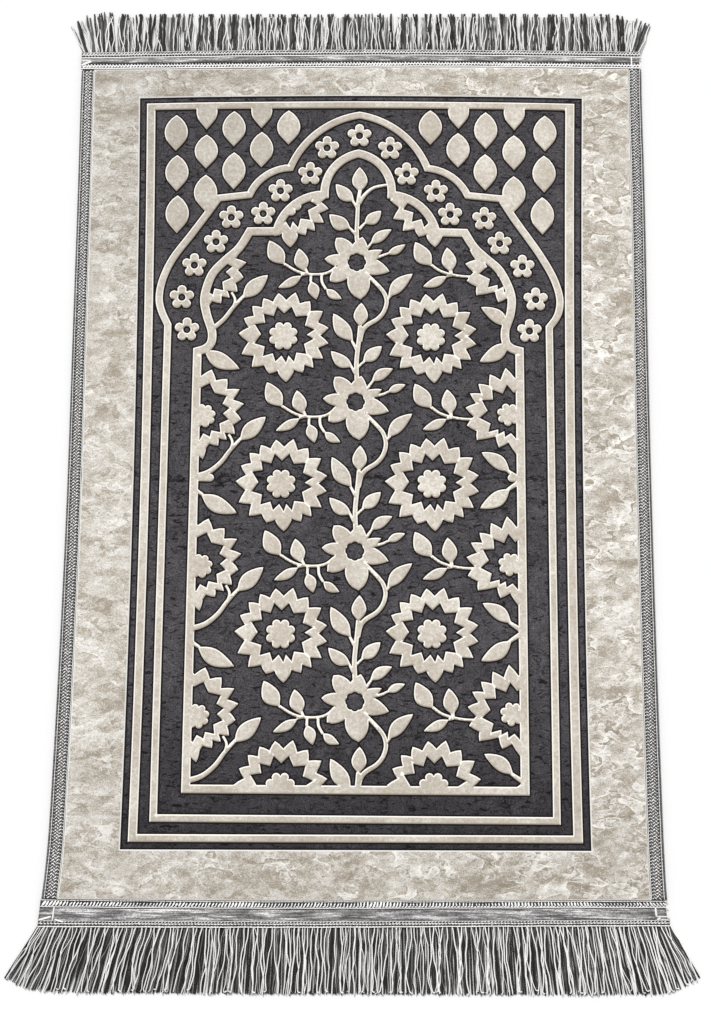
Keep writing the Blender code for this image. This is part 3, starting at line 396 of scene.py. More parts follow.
def ribbon(path, start_w, end_w):
    """Outline of a band along a path, its width changing evenly."""
    halves = [(start_w + (end_w - start_w) * i / (len(path) - 1)) / 2 for i in range(len(path))]
    return left_of(path, halves) + left_of(path, [-h for h in halves])[::-1]


LEAF_STEPS = 10
ARC_STEPS = 10
STEM_STEPS = 3
FOOT_START = 0.72  # part of a drop's length from which its foot is drawn in
FOOT_NARROWING = 0.36


def leaf_outline(leaf):
    """A leaf from its narrow foot to its tip, its middle line bent to one side; a blunt one is a petal."""
    along_x, along_y = leaf.tip_x - leaf.x, leaf.tip_y - leaf.y
    length = hypot(along_x, along_y)
    across_x, across_y = -along_y / length, along_x / length
    sides = {1: [], -1: []}
    for i in range(LEAF_STEPS + 1):
        t = i / LEAF_STEPS
        skew, power = (1.05, 0.62) if leaf.blunt else (0.88, 1.3 - 0.5 * t)
        half = leaf.width / 2 * sin(pi * t ** skew) ** power if 0 < i < LEAF_STEPS else 0
        for side, points in sides.items():
            out = leaf.bend * sin(pi * t) + side * half
            points.append((leaf.x + along_x * t + across_x * out, leaf.y + along_y * t + across_y * out))
    return sides[1] + sides[-1][-2:0:-1]


def drop_outline(drop):
    """A drop that hangs point up, drawn in a little above its round foot."""
    sides = {1: [], -1: []}
    for i in range(LEAF_STEPS + 1):
        t = i / LEAF_STEPS
        half = drop.width / 2 * sin(pi * t ** 0.95) ** 0.8 if 0 < i < LEAF_STEPS else 0
        if t > FOOT_START:
            foot = (t - FOOT_START) / 0.28
            half *= 1 - FOOT_NARROWING * foot * sin(pi * foot)
        for side, points in sides.items():
            points.append((drop.x - side * half, drop.top + (drop.bottom - drop.top) * t))
    return sides[1] + sides[-1][-2:0:-1]


def lobed_outline(x, y, ring, petal, petals, steps, turn=0.0):
    """Equal round petals set in a ring, the first one straight up or turned by a part of the pitch."""
    out = []
    for k in range(petals):
        for i in range(steps):
            off = (i / steps - 0.5) * 2 * pi / petals
            reach = ring * cos(off) + sqrt(max(petal ** 2 - (ring * sin(off)) ** 2, 0.04))
            angle = pi / 2 + 2 * pi * (k + turn) / petals + off
            out.append((x + reach * cos(angle), y + reach * sin(angle)))
    return out


def star_outline(x, y, rays, size, notch, fullness=0.0):
    """A star of uneven rays: notch gives its notches' radius from the rays' lengths, fullness rounds it."""
    out = []
    for ray, following in zip(rays, rays[1:] + rays[:1]):
        turn = (following.angle - ray.angle + 180) % 360 - 180
        between = radians(ray.angle + turn / 2)
        depth = size * notch((ray.length + following.length) / 2)
        tips = [(size * each.length * cos(radians(each.angle)), size * each.length * sin(radians(each.angle)))
                for each in (ray, following)]
        foot = (depth * cos(between), depth * sin(between))
        bulge = (fullness * cos(between), fullness * sin(between))
        sides = [tuple(at + (top + low) / 2 + rise for at, top, low, rise in zip((x, y), tip, foot, bulge))
                 for tip in tips]
        out += [(x + tips[0][0], y + tips[0][1]), sides[0], (x + foot[0], y + foot[1]), sides[1]]
    return out


def bowed(x, y):
    """Where a point of the design lies on the rug, which isn't quite square."""
    t = (y + 440) / 890  # 0 at the design's foot, 1 at its head
    swell = 1 + 0.0015 - 0.0575 * t + 0.0635 * t * t
    far_lift = 4.3 - 5.0 * ((x - 80) / 340) ** 2
    near_lift = 0.6 + 0.004 * x
    return x * swell, y + far_lift * max(0, t) ** 3 + near_lift * max(0, 1 - t) ** 3


def frame_outline(rectangle):
    """A rectangle of the design, with enough points to bow."""
    left, right, bottom, top = rectangle
    corners = [(left, bottom), (right, bottom), (right, top), (left, top)]
    return [bowed(ax + (bx - ax) * i / 20, ay + (by - ay) * i / 20)
            for (ax, ay), (bx, by) in zip(corners, corners[1:] + corners[:1]) for i in range(20)]


def arch_outline(arch, side):
    """Outer (side 1) or inner (side -1) edge of an arch's light band, down its legs and along its foot."""
    halves = {}
    for hand in ("left", "right"):
        (head, shoulder), flank = arch[hand]
        halves[hand] = (arc_through(*head, 2 * ARC_STEPS) + arc_through(*shoulder, ARC_STEPS)[1:]
                        + spline(flank, ARC_STEPS // 2))
    legs, (leg_w, foot_w) = arch["legs"], arch["band"]
    path = [(legs.left, legs.bottom), *halves["left"][::-1], *halves["right"][1:], (legs.right, legs.bottom)]
    edge = left_of(path, [side * leg_w / 2] * len(path))
    foot = legs.bottom - side * foot_w / 2
    edge[0] = (legs.left - side * leg_w / 2, foot)
    edge[-1] = (legs.right + side * leg_w / 2, foot)
    return edge


# ---------------------------------------------------------------- the design
BACKING, GROUND, FIGURE, BORDER = 0, 1, 2, 3  # levels of the cloth's face, which are also its material slots
LEVEL_TOP = np.array([BACKING_TOP, GROUND_TOP, PILE_TOP, PILE_TOP])
PETAL_FULLNESS = 0.7  # mm by which a rosette's petals bulge
PETAL_FOOT = 0.05  # where a daisy's petal starts, as a part of the way to its tip
OUTLINE_STEP = 20  # mm between the points of the cloth's sides
BRAID_SPREAD = 0.19  # part by which the braid is wider at its near end


def moved(rows, place):
    """The rows of leaves or stems with their points placed."""
    out = []
    for row in rows:
        if isinstance(row, Leaf):
            out.append(Leaf(*place(row.x, row.y), *place(row.tip_x, row.tip_y), *row[4:]))
        else:
            out.append(Stem(row.start_w, row.end_w, [place(*point) for point in row.points]))
    return out


def greenery():
    """Every leaf and stem of the inner field."""
    rows = CROWN + FOLD_STUBS
    for daisy in DAISIES:
        stretch = daisy.pitch / FULL_PITCH
        rows += moved(VINE, lambda x, y: (daisy.x + x, daisy.y + y * (stretch if y < -50 else 1)))
        rows += moved(BRANCHES, lambda x, y: (daisy.x + x, daisy.y + y + daisy.lift))
    for spots, plants in ((LEFT_HALF_ROSETTES, LEFT_SIDE), (RIGHT_HALF_ROSETTES, RIGHT_SIDE)):
        for spot in spots:
            rows += moved(plants, lambda x, y: (spot.x + x, spot.y + y))
    return [leaf_outline(row) if isinstance(row, Leaf)
            else ribbon(spline(row.points, STEM_STEPS), row.start_w, row.end_w) for row in rows]


def field_shapes():
    """Level and outline of each figure of the inner field, a later one covering an earlier one."""
    shapes = [(FIGURE, outline) for outline in greenery()]
    for x, y, size in ROSETTES:
        shapes.append((FIGURE, star_outline(x, y, ROSETTE_PETALS, size, lambda length: 43, PETAL_FULLNESS)))
        shapes.append((FIGURE, leaf_outline(Leaf(x + 2, y - 30, x + 3.2, y - 56.5, 19, 0))))
        shapes.append((GROUND, star_outline(x, y, ROSETTE_STAR, 1, lambda length: 0.74 * length)))
        shapes.append((FIGURE, lobed_outline(x - 0.8, y - 0.8, 12.4, 5.0, 8, 8, 0.5)))
    for x, y in LEFT_HALF_ROSETTES:
        shapes.append((FIGURE, star_outline(x, y, LEFT_PETALS, 1, lambda length: 44 if length > 50 else 39.5,
                                            PETAL_FULLNESS)))
        shapes.append((FIGURE, leaf_outline(Leaf(x + 2, y - 24, x + 7, y - 55.5, 15, -1))))
        shapes.append((GROUND, star_outline(x, y, LEFT_STAR, 1, lambda length: 0.79 * length)))
        if y < 200:  # the one under the arch has no room for its middle
            shapes.append((FIGURE, lobed_outline(x + 7, y - 3.8, 9.9, 4.2, 8, 8, 0.3)))
    for x, y in RIGHT_HALF_ROSETTES:
        shapes.append((FIGURE, star_outline(x, y, HALF_PETALS, 1, lambda length: 46 if length > 48 else 31.5,
                                            PETAL_FULLNESS)))
        shapes.append((GROUND, star_outline(x, y, HALF_STAR, 1, lambda length: 0.75 * length)))
        shapes.append((FIGURE, lobed_outline(x - 5.0, y + 2.2, 9.4, 4.3, 7, 8, 0.4)))
    shapes += [(FIGURE, lobed_outline(x, y, 0, 4.6, 1, 12)) for x, y in FOLD_BUDS]
    for daisy in DAISIES:
        for petal in DAISY_PETALS:
            foot = (daisy.x + PETAL_FOOT * petal.x, daisy.y + PETAL_FOOT * petal.y)
            blunt = petal.x < 0 or petal.y < -30
            leaf = Leaf(*foot, daisy.x + petal.x, daisy.y + petal.y, petal.width, 0, blunt)
            shapes.append((FIGURE, leaf_outline(leaf)))
        shapes.append((FIGURE, lobed_outline(daisy.x, daisy.y, 0, 17, 1, 14)))
        shapes.append((GROUND, lobed_outline(daisy.x + 0.4, daisy.y - 0.3, 6.6, 4.6, 8, 6)))
    return shapes


def ring_between(inset, near_y, far_y, step):
    """A closed outline inset from the rug's sides, between two curves across it."""
    def corner(hand, curve):
        inward = inset if hand == "left" else -inset
        x = SIDE_X[hand](curve(0)) + inward
        return SIDE_X[hand](curve(x)) + inward, curve(x)

    def side(hand):
        inward = inset if hand == "left" else -inset
        near, far = corner(hand, near_y), corner(hand, far_y)
        between = np.arange(near[1] + step, far[1] - step / 2, step)
        return [near, *((SIDE_X[hand](y) + inward, y) for y in between), far]

    right, left = side("right"), side("left")[::-1]
    near_xs = np.arange(left[-1][0] + step, right[0][0] - step / 2, step)
    far_xs = np.arange(left[0][0] + step, right[-1][0] - step / 2, step)
    return [(x, near_y(x)) for x in near_xs] + right + [(x, far_y(x)) for x in far_xs[::-1]] + left


def header_line(x, end, depth):
    """y of a line along the fringe's strip: depth 0 is its outer side, 1 its inner side."""
    outward = 1 if end == "far" else -1
    return TAPE_Y[end, "outer"](x) - outward * (HEADER_SET_BACK + HEADER_W * depth)


def cloth_outline(step):
    """The cloth lies inside the edging's roll and between the two fringe strips."""
    return ring_between(PIPING_W + GAP, lambda x: header_line(x, "near", 1) + GAP,
                        lambda x: header_line(x, "far", 1) - GAP, step)


def braid_stretch(y):
    """How much wider than at its far end the braid lies: it spreads towards the near end."""
    return 1 + BRAID_SPREAD * np.clip((490 - y) / 980, 0, 1) ** 1.4


def pile_outline(step):
    """The pile stands up where neither edging nor tape covers it."""
    outline = ring_between(EDGING_W + GAP, lambda x: TAPE_Y["near", "inner"](x) + GAP,
                           lambda x: TAPE_Y["far", "inner"](x) - GAP, step)
    return [(x - EDGING_W * float(braid_stretch(y) - 1) * min(1, max(-1, x / 300)), y) for x, y in outline]


def inside(outline, x, y):
    """Which points lie in an outline, by counting the edges to their right."""
    edges = np.array(outline)
    low, high = edges.min(0), edges.max(0)
    near = np.flatnonzero((x >= low[0]) & (x <= high[0]) & (y >= low[1]) & (y <= high[1]))
    px, py = x[near], y[near]
    odd = np.zeros(len(near), bool)
    for (ax, ay), (bx, by) in zip(edges, np.roll(edges, -1, 0)):
        if ay != by:
            odd ^= ((ay > py) != (by > py)) & (px < ax + (py - ay) * (bx - ax) / (by - ay))
    result = np.zeros(len(x), bool)
    result[near] = odd
    return result


class Design:
    """The design's outlines and the level that they give to each point."""

    def __init__(self):
        self.cloth = cloth_outline(OUTLINE_STEP)
        self.border = pile_outline(OUTLINE_STEP)
        self.rings = [  # from the outside inwards: the level just inside each outline
            (GROUND, frame_outline(FIELD_EDGE)),
            (FIGURE, frame_outline(BAND_OUTER)),
            (GROUND, frame_outline(BAND_INNER)),
            (FIGURE, arch_outline(OUTER_ARCH, 1)),
            (GROUND, arch_outline(OUTER_ARCH, -1)),
            (FIGURE, arch_outline(INNER_ARCH, 1)),
            (GROUND, arch_outline(INNER_ARCH, -1)),
        ]
        florets = []
        for x, y in FLORETS:
            florets.append((FIGURE, lobed_outline(x, y, FLORET["ring"], FLORET["petal"], FLORET["petals"],
                                                  FLORET["steps"])))
            florets.append((GROUND, lobed_outline(x, y, 0, FLORET["hole"], 1, 10)))
        drops = [(FIGURE, drop_outline(drop)) for drop in DROPS]
        self.figures = {3: drops, 5: florets, 7: field_shapes()}  # by the number of the outline they lie in

    def outlines(self):
        """Every outline, the cloth's own first."""
        return ([self.cloth, self.border] + [outline for _, outline in self.rings]
                + [outline for shapes in self.figures.values() for _, outline in shapes])

    def levels(self, x, y):
        """Level of the cloth's face at each point."""
        level = np.where(inside(self.border, x, y), BORDER, BACKING)
        depth = np.zeros(len(x), int)
        for number, (ring_level, outline) in enumerate(self.rings, 1):
            held = inside(outline, x, y)
            depth[held] = number
            level[held] = ring_level
        for number, shapes in self.figures.items():
            there = np.flatnonzero(depth == number)
            for shape_level, outline in shapes:
                held = there[inside(outline, x[there], y[there])]
                level[held] = shape_level
        return level


# ---------------------------------------------------------------- mesh tools
def stepped(outline, step):
    """A closed outline with its long edges cut into even steps."""
    out = []
    for (ax, ay), (bx, by) in zip(outline, outline[1:] + outline[:1]):
        cuts = max(1, round(hypot(bx - ax, by - ay) / step))
        out += [(ax + (bx - ax) * i / cuts, ay + (by - ay) * i / cuts) for i in range(cuts)]
    return out


def rug_origin():
    """Where the frame has the origin of the rug's own millimetres, from the cloth's box."""
    low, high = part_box("rug_cloth")
    xs, ys = zip(*cloth_outline(OUTLINE_STEP))
    return Vector(((low.x + high.x) / 2 - (min(xs) + max(xs)) / 2 * MM,
                   (low.y + high.y) / 2 - (min(ys) + max(ys)) / 2 * MM, 0))


def add_object(name, content):
    """Put a mesh, a light or a camera into the scene."""
    made = bpy.data.objects.new(name, content)
    bpy.context.scene.collection.objects.link(made)
    return made


def add_piece(name, bm, materials, replaced):
    """Make a finished mesh in millimetres a piece of the rug."""
    bmesh.ops.scale(bm, vec=(MM, MM, MM), verts=bm.verts)
    bmesh.ops.translate(bm, vec=rug_origin(), verts=bm.verts)
    mesh = bpy.data.meshes.new(name)
    bm.to_mesh(mesh)
    bm.free()
    for material in materials:
        mesh.materials.append(material)
    mesh.shade_smooth()
    piece = add_object(name, mesh)
    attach(piece, BODY)
    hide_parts(*replaced)
    return piece


# ---------------------------------------------------------------- materials
LIGHT_WAY = Vector((-0.35, 0.94))  # across the rug, towards the side from which its pile catches the light
DULL_NEAR = (-0.45, -0.22)  # metres from the rug's middle: the near end is dulled fully up to the first
DULL_CORNER = (-0.27, 0.46)  # metres from the rug's middle, by the far left corner
DULL_REACH = 0.36
FOLD_SHADE_RAG, FOLD_SHADE_WIDTH = 0.03, (0.0003, 0.0026)  # metres: the fold's painted shade wanders, and has a soft edge
NOISE_ROUGHNESS = 0.6
SURFACE = {"specular": "Specular IOR Level", "sheen": "Sheen Weight", "sheen_roughness": "Sheen Roughness"}


def add_node(tree, kind, inputs=None, stops=None, **settings):
    """Add a node: inputs gives a socket its value or the output that feeds it, stops a ramp its colours."""
    node = tree.nodes.new(kind)
    for name, value in settings.items():
        setattr(node, name, value)
    for socket, value in (inputs or {}).items():
        if isinstance(value, bpy.types.NodeSocket):
            tree.links.new(value, node.inputs[socket])
        else:
            node.inputs[socket].default_value = value
    if stops:
        ramp = node.color_ramp
        ramp.elements[0].position, ramp.elements[-1].position = stops[0][0], stops[-1][0]
        for place, _ in stops[1:-1]:
            ramp.elements.new(place)
        for element, (_, colour) in zip(ramp.elements, stops):
            element.color = (*colour, 1)
    return node


def scaled(colour, factor):
    """A colour made darker or lighter."""
    return tuple(min(1, part * factor) for part in colour)


class Nodes:
    """A material in the making: each method adds a node and gives the output that carries its result."""

    def __init__(self, name):
        self.material = bpy.data.materials.new(name)
        self.material.use_nodes = True
        self.tree = self.material.node_tree
        self.tree.nodes.clear()
        self.place = add_node(self.tree, "ShaderNodeTexCoord").outputs["Object"]

    def attribute(self, name):
        return add_node(self.tree, "ShaderNodeAttribute", attribute_name=name).outputs["Fac"]

    def parts(self, value):
        """The x, y and z of a vector, or the parts of a colour."""
        return add_node(self.tree, "ShaderNodeSeparateXYZ", {0: value}).outputs

    def math(self, operation, *values):
        node = add_node(self.tree, "ShaderNodeMath", dict(enumerate(values)), operation=operation)
        return node.outputs["Value"]

    def vector(self, operation, *values):
        node = add_node(self.tree, "ShaderNodeVectorMath", dict(enumerate(values)), operation=operation)
        return node.outputs["Value" if operation == "DISTANCE" else "Vector"]

    def weighted(self, total, *parts):
        """The total with each part added, times its weight."""
        for value, weight in parts:
            total = self.math("MULTIPLY_ADD", value, weight, total)
        return total

    def mapped(self, value, start, stop, low=0.0, high=1.0, interpolation="LINEAR"):
        """A value brought from one range into another."""
        return add_node(self.tree, "ShaderNodeMapRange", {
            "Value": value, "From Min": start, "From Max": stop, "To Min": low, "To Max": high},
            interpolation_type=interpolation).outputs["Result"]

    def eased(self, *values):
        """The same with soft ends."""
        return self.mapped(*values, interpolation="SMOOTHSTEP")

    def ramp(self, value, *stops):
        """The colour that (place, colour) stops give to a value."""
        return add_node(self.tree, "ShaderNodeValToRGB", {"Fac": value}, stops=stops).outputs["Color"]

    def shades(self, value, *stops):
        """A ramp of greys from (place, brightness) stops."""
        return self.ramp(value, *((place, (shade, shade, shade)) for place, shade in stops))

    def mix(self, factor, first, second, **settings):
        return add_node(self.tree, "ShaderNodeMix", {"Factor": factor, 6: first, 7: second}, data_type="RGBA",
                        **settings).outputs[2]

    def noise(self, size_mm, stretch=(1, 1, 1), detail=3.0, distortion=0.0, turn=0.0, place=None,
              output="Fac"):
        """Soft noise on the rug's own coordinates, with patches about size_mm across."""
        spread = add_node(self.tree, "ShaderNodeMapping", {
            "Vector": self.place if place is None else place, "Rotation": (0, 0, turn),
            "Scale": tuple(1 / (size_mm * MM * part) for part in stretch)})
        return add_node(self.tree, "ShaderNodeTexNoise", {
            "Vector": spread.outputs["Vector"], "Scale": 1.0, "Detail": detail,
            "Roughness": NOISE_ROUGHNESS,
            "Distortion": distortion}).outputs[output]

    def waves(self, place, scale, distortion, direction):
        inputs = {"Vector": place, "Scale": scale, "Distortion": distortion}
        return add_node(self.tree, "ShaderNodeTexWave", inputs, bands_direction=direction).outputs["Fac"]

    def facets(self, place, scale):
        """A random number for each of many small cells."""
        cells = add_node(self.tree, "ShaderNodeTexVoronoi", {"Vector": place, "Scale": scale})
        return self.parts(cells.outputs["Color"])["X"]

    def finish(self, colour, roughness, bump=None, **surface):
        """Close the material: bump is its height, its strength and its depth in metres."""
        inputs = {"Base Color": colour, "Roughness": roughness}
        for name, value in surface.items():
            inputs[SURFACE[name]] = value
        if bump:
            height, strength, depth = bump
            relief = add_node(self.tree, "ShaderNodeBump", {
                "Height": height, "Strength": strength, "Distance": depth})
            inputs["Normal"] = relief.outputs["Normal"]
        shader = add_node(self.tree, "ShaderNodeBsdfPrincipled", inputs)
        add_node(self.tree, "ShaderNodeOutputMaterial", {"Surface": shader.outputs["BSDF"]})
        return self.material


def fold_painted_shade(nodes, colour, darkest):
    """Darken a colour with painted shade, in ragged strokes along the crease that the rug was folded at."""
    rag = nodes.noise(14, stretch=(1.6, 1, 1), distortion=1.0)
    off = nodes.math("ADD", nodes.parts(nodes.place)["Y"], -(FOLD["y"] * MM + rug_origin().y))
    ragged = nodes.math("SUBTRACT", nodes.math("MULTIPLY_ADD", rag, FOLD_SHADE_RAG, off), FOLD_SHADE_RAG / 2)
    shade = nodes.eased(nodes.math("ABSOLUTE", ragged), *FOLD_SHADE_WIDTH, darkest)
    return nodes.vector("MULTIPLY", colour, shade)


def dulled(nodes, colour, near_end, far_left):
    """Darken a colour towards the near end and towards the far left corner."""
    origin = rug_origin()
    near = nodes.eased(nodes.parts(nodes.place)["Y"], *(origin.y + y for y in DULL_NEAR), near_end)
    dullest_spot = (origin.x + DULL_CORNER[0], origin.y + DULL_CORNER[1], origin.z)
    corner = nodes.mapped(nodes.vector("DISTANCE", nodes.place, dullest_spot), 0.0, DULL_REACH, far_left)
    return nodes.vector("MULTIPLY", colour, nodes.math("MULTIPLY", near, corner))


def charcoal_pile(pile):
    """Short clipped viscose pile, with flecks and dark wandering strokes, and a painted shadow, near black,
    at the foot of the figures.
    """
    nodes = Nodes("clipped_charcoal_pile")
    tuft = nodes.noise(1.6, detail=2.0)  # tufts are 0.5 mm; drawn coarser so that they show
    fleck = nodes.noise(6, stretch=(1.6, 0.6, 1), distortion=0.8)
    swirl = nodes.noise(30, detail=4.0, distortion=1.0, turn=0.5)
    stroke = nodes.noise(17, detail=1.0, distortion=1.4)
    ground = nodes.ramp(swirl, (0.30, scaled(pile.charcoal, 0.72)), (0.50, tuple(pile.charcoal)),
                        (0.72, scaled(pile.charcoal, 1.35)))
    off_line = nodes.math("ABSOLUTE", nodes.math("SUBTRACT", stroke, 0.5))
    for shade in (nodes.shades(tuft, (0.30, 0.5), (0.50, 1.0), (0.70, 1.75)),
                  nodes.shades(fleck, (0.36, 0.15), (0.43, 1.0), (0.60, 1.0), (0.70, 1.45)),
                  nodes.shades(off_line, (0.0, 0.45), (0.014, 0.6), (0.028, 1.0))):
        ground = nodes.mix(1.0, ground, shade, blend_type="MULTIPLY")
    # painted shade along the fold's crease; the colour is also darkened towards the near end and the far left
    # corner
    fold_shaded = dulled(nodes, fold_painted_shade(nodes, ground, 0.25), 0.5, 0.98)
    # painted shadow: within 1.3 to 2.6 mm of a figure the ground turns near black, as if shaded by its raised
    # pile
    foot = nodes.eased(nodes.attribute("edge"), 1.3, 2.6)
    colour = nodes.mix(foot, (*pile.outline, 1), fold_shaded)
    return nodes.finish(colour, 0.92, (tuft, 0.6, 0.0006), specular=0.2, sheen=0.05, sheen_roughness=0.5)


def cream_pile(pile):
    """Full viscose pile of the figures, mottled at random, with painted light on its edges: a painted
    highlight where an edge faces the light, painted shade, tan, where it faces away.
    """
    nodes = Nodes("full_cream_pile")
    tuft = nodes.noise(1.5, detail=2.0)
    tone = nodes.weighted(-0.25, (nodes.noise(55, detail=2.0), 0.5), (nodes.noise(4.5, distortion=0.3), 0.55),
                          (tuft, 0.45))
    face = nodes.ramp(tone, (0.25, tuple(pile.cream_shade)), (0.50, tuple(pile.cream)),
                      (0.80, tuple(pile.rim)))
    # painted highlight and shade: an edge is near white where it faces the light and tan where it faces away
    lit = nodes.eased(nodes.attribute("facing"), -0.7, -0.1)
    rim = nodes.mix(lit, (*pile.cream_shade, 1), (*pile.rim, 1))
    # the painted edge colour covers the outer 0.9 to 1.7 mm of each figure
    inner = nodes.eased(nodes.attribute("edge"), 0.9, 1.7)
    colour = nodes.mix(inner, rim, dulled(nodes, face, 0.90, 0.76))
    return nodes.finish(colour, 0.85, (tuft, 0.4, 0.0005), specular=0.25, sheen=0.08, sheen_roughness=0.4)


def painted_relief_light(nodes, size_mm, shift_mm, **settings):
    """Painted light and shade of a soft relief of that patch size: how much it rises towards the light, which
    the colour shows as brighter.
    """
    shift = (LIGHT_WAY.x * shift_mm * MM, LIGHT_WAY.y * shift_mm * MM, 0)
    beyond = nodes.noise(size_mm, place=nodes.vector("ADD", nodes.place, shift), **settings)
    return nodes.math("SUBTRACT", nodes.noise(size_mm, **settings), beyond)


def border_velvet(pile):
    """Crushed viscose velvet, tan and light in random facets and patches, with painted light: painted
    highlights where its relief and creases face the light, painted shade, tan, where they face away.
    """
    nodes = Nodes("crushed_border_velvet")
    tuft = nodes.noise(1.3, detail=2.0)
    wander = nodes.noise(14, output="Color")
    warped = nodes.vector("MULTIPLY_ADD", wander, (0.018, 0.018, 0), nodes.place)
    long = nodes.vector("MULTIPLY", warped, (0.75, 1.2, 1.0))
    # random tone together with painted light and shade from the border's relief
    tone_and_painted_light = nodes.weighted(
        nodes.noise(60, detail=2.0),
        (painted_relief_light(nodes, 12, 2.2, stretch=(1.4, 0.8, 1), detail=4.0, distortion=0.6), 0.35),
        (painted_relief_light(nodes, 5.0, 1.2, stretch=(1.3, 0.8, 1), detail=2.0, distortion=1.0), 0.85),
        (tuft, 2.4), (nodes.attribute("painted_slope_light"), 1.6), (nodes.facets(long, 42.0), 0.40),
        (nodes.facets(long, 115.0), 0.45))
    crumple = nodes.mapped(nodes.parts(nodes.place)["X"], -0.3, 0.3, 0.65, 1.3)  # more on the right side
    shown = nodes.mapped(nodes.noise(30, detail=2.0), 0.42, 0.60, 0.15)
    painted_crease_light = 0.0
    for size, weight in ((24, 0.36), (10, 0.32)):  # each crease is painted: a painted highlight on its ridge and painted shade on its dark side
        swell = nodes.noise(size, stretch=(1.25, 0.8, 1), detail=1.4, distortion=0.3)
        line = nodes.shades(swell, (0.38, 0.5), (0.44, 0.40), (0.485, 0.20), (0.498, 0.45), (0.506, 1.0),
                            (0.530, 0.85), (0.565, 0.60), (0.64, 0.5))
        painted_crease_light = nodes.math("ADD", painted_crease_light, nodes.math("MULTIPLY_ADD", line, weight, -0.5 * weight))
    creased = nodes.math("MULTIPLY_ADD", painted_crease_light, nodes.math("MULTIPLY", shown, crumple), 0.045)
    face = nodes.ramp(nodes.weighted(creased, (tone_and_painted_light, 0.22)), (0.25, scaled(pile.border_shade, 0.8)),
                      (0.40, tuple(pile.border_shade)), (0.51, tuple(pile.border)),
                      (0.66, tuple(pile.border_light)), (0.82, tuple(pile.rim)))
    # painted highlight: the border turns light within 0.6 to 2 mm of its edges
    inner = nodes.eased(nodes.attribute("edge"), 0.6, 2.0)
    colour = nodes.mix(inner, (*pile.border_light, 1), dulled(nodes, face, 0.895, 0.84))
    return nodes.finish(colour, 0.8, (tuft, 0.4, 0.0006), specular=0.3, sheen=0.12, sheen_roughness=0.35)


def woven_back(pile):
    """Coarse cotton and jute back: a plain weave of about 2 mm, so it looks ribbed and dry."""
    nodes = Nodes("woven_cotton_back")
    weft = nodes.waves(nodes.place, 80.0, 0.5, "Y")
    colour = nodes.ramp(weft, (0.2, scaled(pile.backing, 0.5)), (0.8, tuple(pile.backing)))
    return nodes.finish(colour, 0.95, (weft, 0.5, 0.0008))


def twisted_yarn(name, trim, roughness):
    """Two-ply yarn from black to bleached, as each copy's tint says; the plies show as slanting lines."""
    nodes = Nodes(name)
    uv = add_node(nodes.tree, "ShaderNodeUVMap", uv_map="yarn")
    ply = nodes.waves(uv.outputs["UV"], 0.32, 0.4, "DIAGONAL")
    wear = nodes.mapped(nodes.noise(9), 0.3, 0.7, -0.06, 0.06)
    dark, light = tuple(trim.dark_yarn), tuple(trim.light_yarn)
    between = tuple((a + b) * 0.22 for a, b in zip(dark, light))
    colour = nodes.ramp(nodes.math("ADD", nodes.attribute("tint"), wear), (0.05, dark), (0.5, between),
                        (0.95, light))
    return nodes.finish(colour, roughness, (ply, 0.4, 0.0004), specular=0.35, sheen=0.1)


def satin_ribbon(trim):
    """Polyester satin: long floats run along the ribbon, so it has fine streaks of painted sheen in its
    colour and a soft gloss.
    """
    nodes = Nodes("grey_polyester_satin")
    grain = nodes.noise(1.1, stretch=(1.5, 1, 1), detail=1.0)
    floats = nodes.noise(3.2, stretch=(12, 0.42, 1), detail=4.0)
    crush = nodes.noise(7.0, stretch=(5.0, 0.7, 1), detail=4.0, distortion=0.4)
    sheen = nodes.weighted(-0.2, (grain, 0.3), (floats, 0.6), (crush, 0.7))
    # painted sheen: the grey runs from a fifth of itself to nearly three times as bright
    tones = ((0.49, 0.22), (0.57, 0.62), (0.63, 0.95), (0.69, 1.8), (0.76, 2.7))
    colour = nodes.ramp(sheen, *((place, scaled(trim.satin, tone)) for place, tone in tones))
    return nodes.finish(colour, 0.45, (floats, 0.4, 0.0005))


def pale_floor(stage):
    """Matt white studio board, with the faintest unevenness."""
    nodes = Nodes("matt_white_board")
    colour = nodes.ramp(nodes.noise(400), (0.3, scaled(stage.floor, 0.99)), (0.7, tuple(stage.floor)))
    return nodes.finish(colour, 0.9, specular=0.1)


# ---------------------------------------------------------------- the cloth (mm)
SAMPLE_STEP = 0.5  # distance between the samples that find the nearest contour
BESIDE_CONTOUR = (1.3, -0.9, 2.8, -2.4)  # rows of points along each contour, over 0 on its lower side
CLEAR_OF_CONTOUR = 3.6  # the grids of points start this far from a contour
EDGE_REACH = 6.0  # the materials know distances to a contour up to this
ROUNDED = (0.3, 0.9)  # how far the pile droops at its edge, and the distance in which it fades
SLOPE_STEP = 1.2  # distance over which the border's slope is measured
# strength of the border's painted light and shade from the slope of its relief
SLOPE_LIGHT_GAIN = 1.3
LIGHT_SLANT = 0.15  # how far an edge's brightness also depends on its facing left or right
OWN_ROOM = 0.88  # a point beside a contour keeps this part of its distance from the other contours
SHORT_EDGE = 0.8  # contour edges that are shorter get no points beside them
ROW_SPACING = 0.87  # between the rows of a grid of even triangles, as a part of its step
WARP_SIZE, WARP_REACH = 24, 9  # the noise that bends the puckers, and how far it bends them
SMALL_PUCKERS = (17, 14)  # along x and y
WANDER_SIZE, WANDER_REACH = 14, 3.0  # the noise that bends a crease, and how far
CREASE_GAIN = 0.6


def bell(off):
    """1 at 0, falling softly on both sides."""
    return 2.718 ** (-off ** 2)


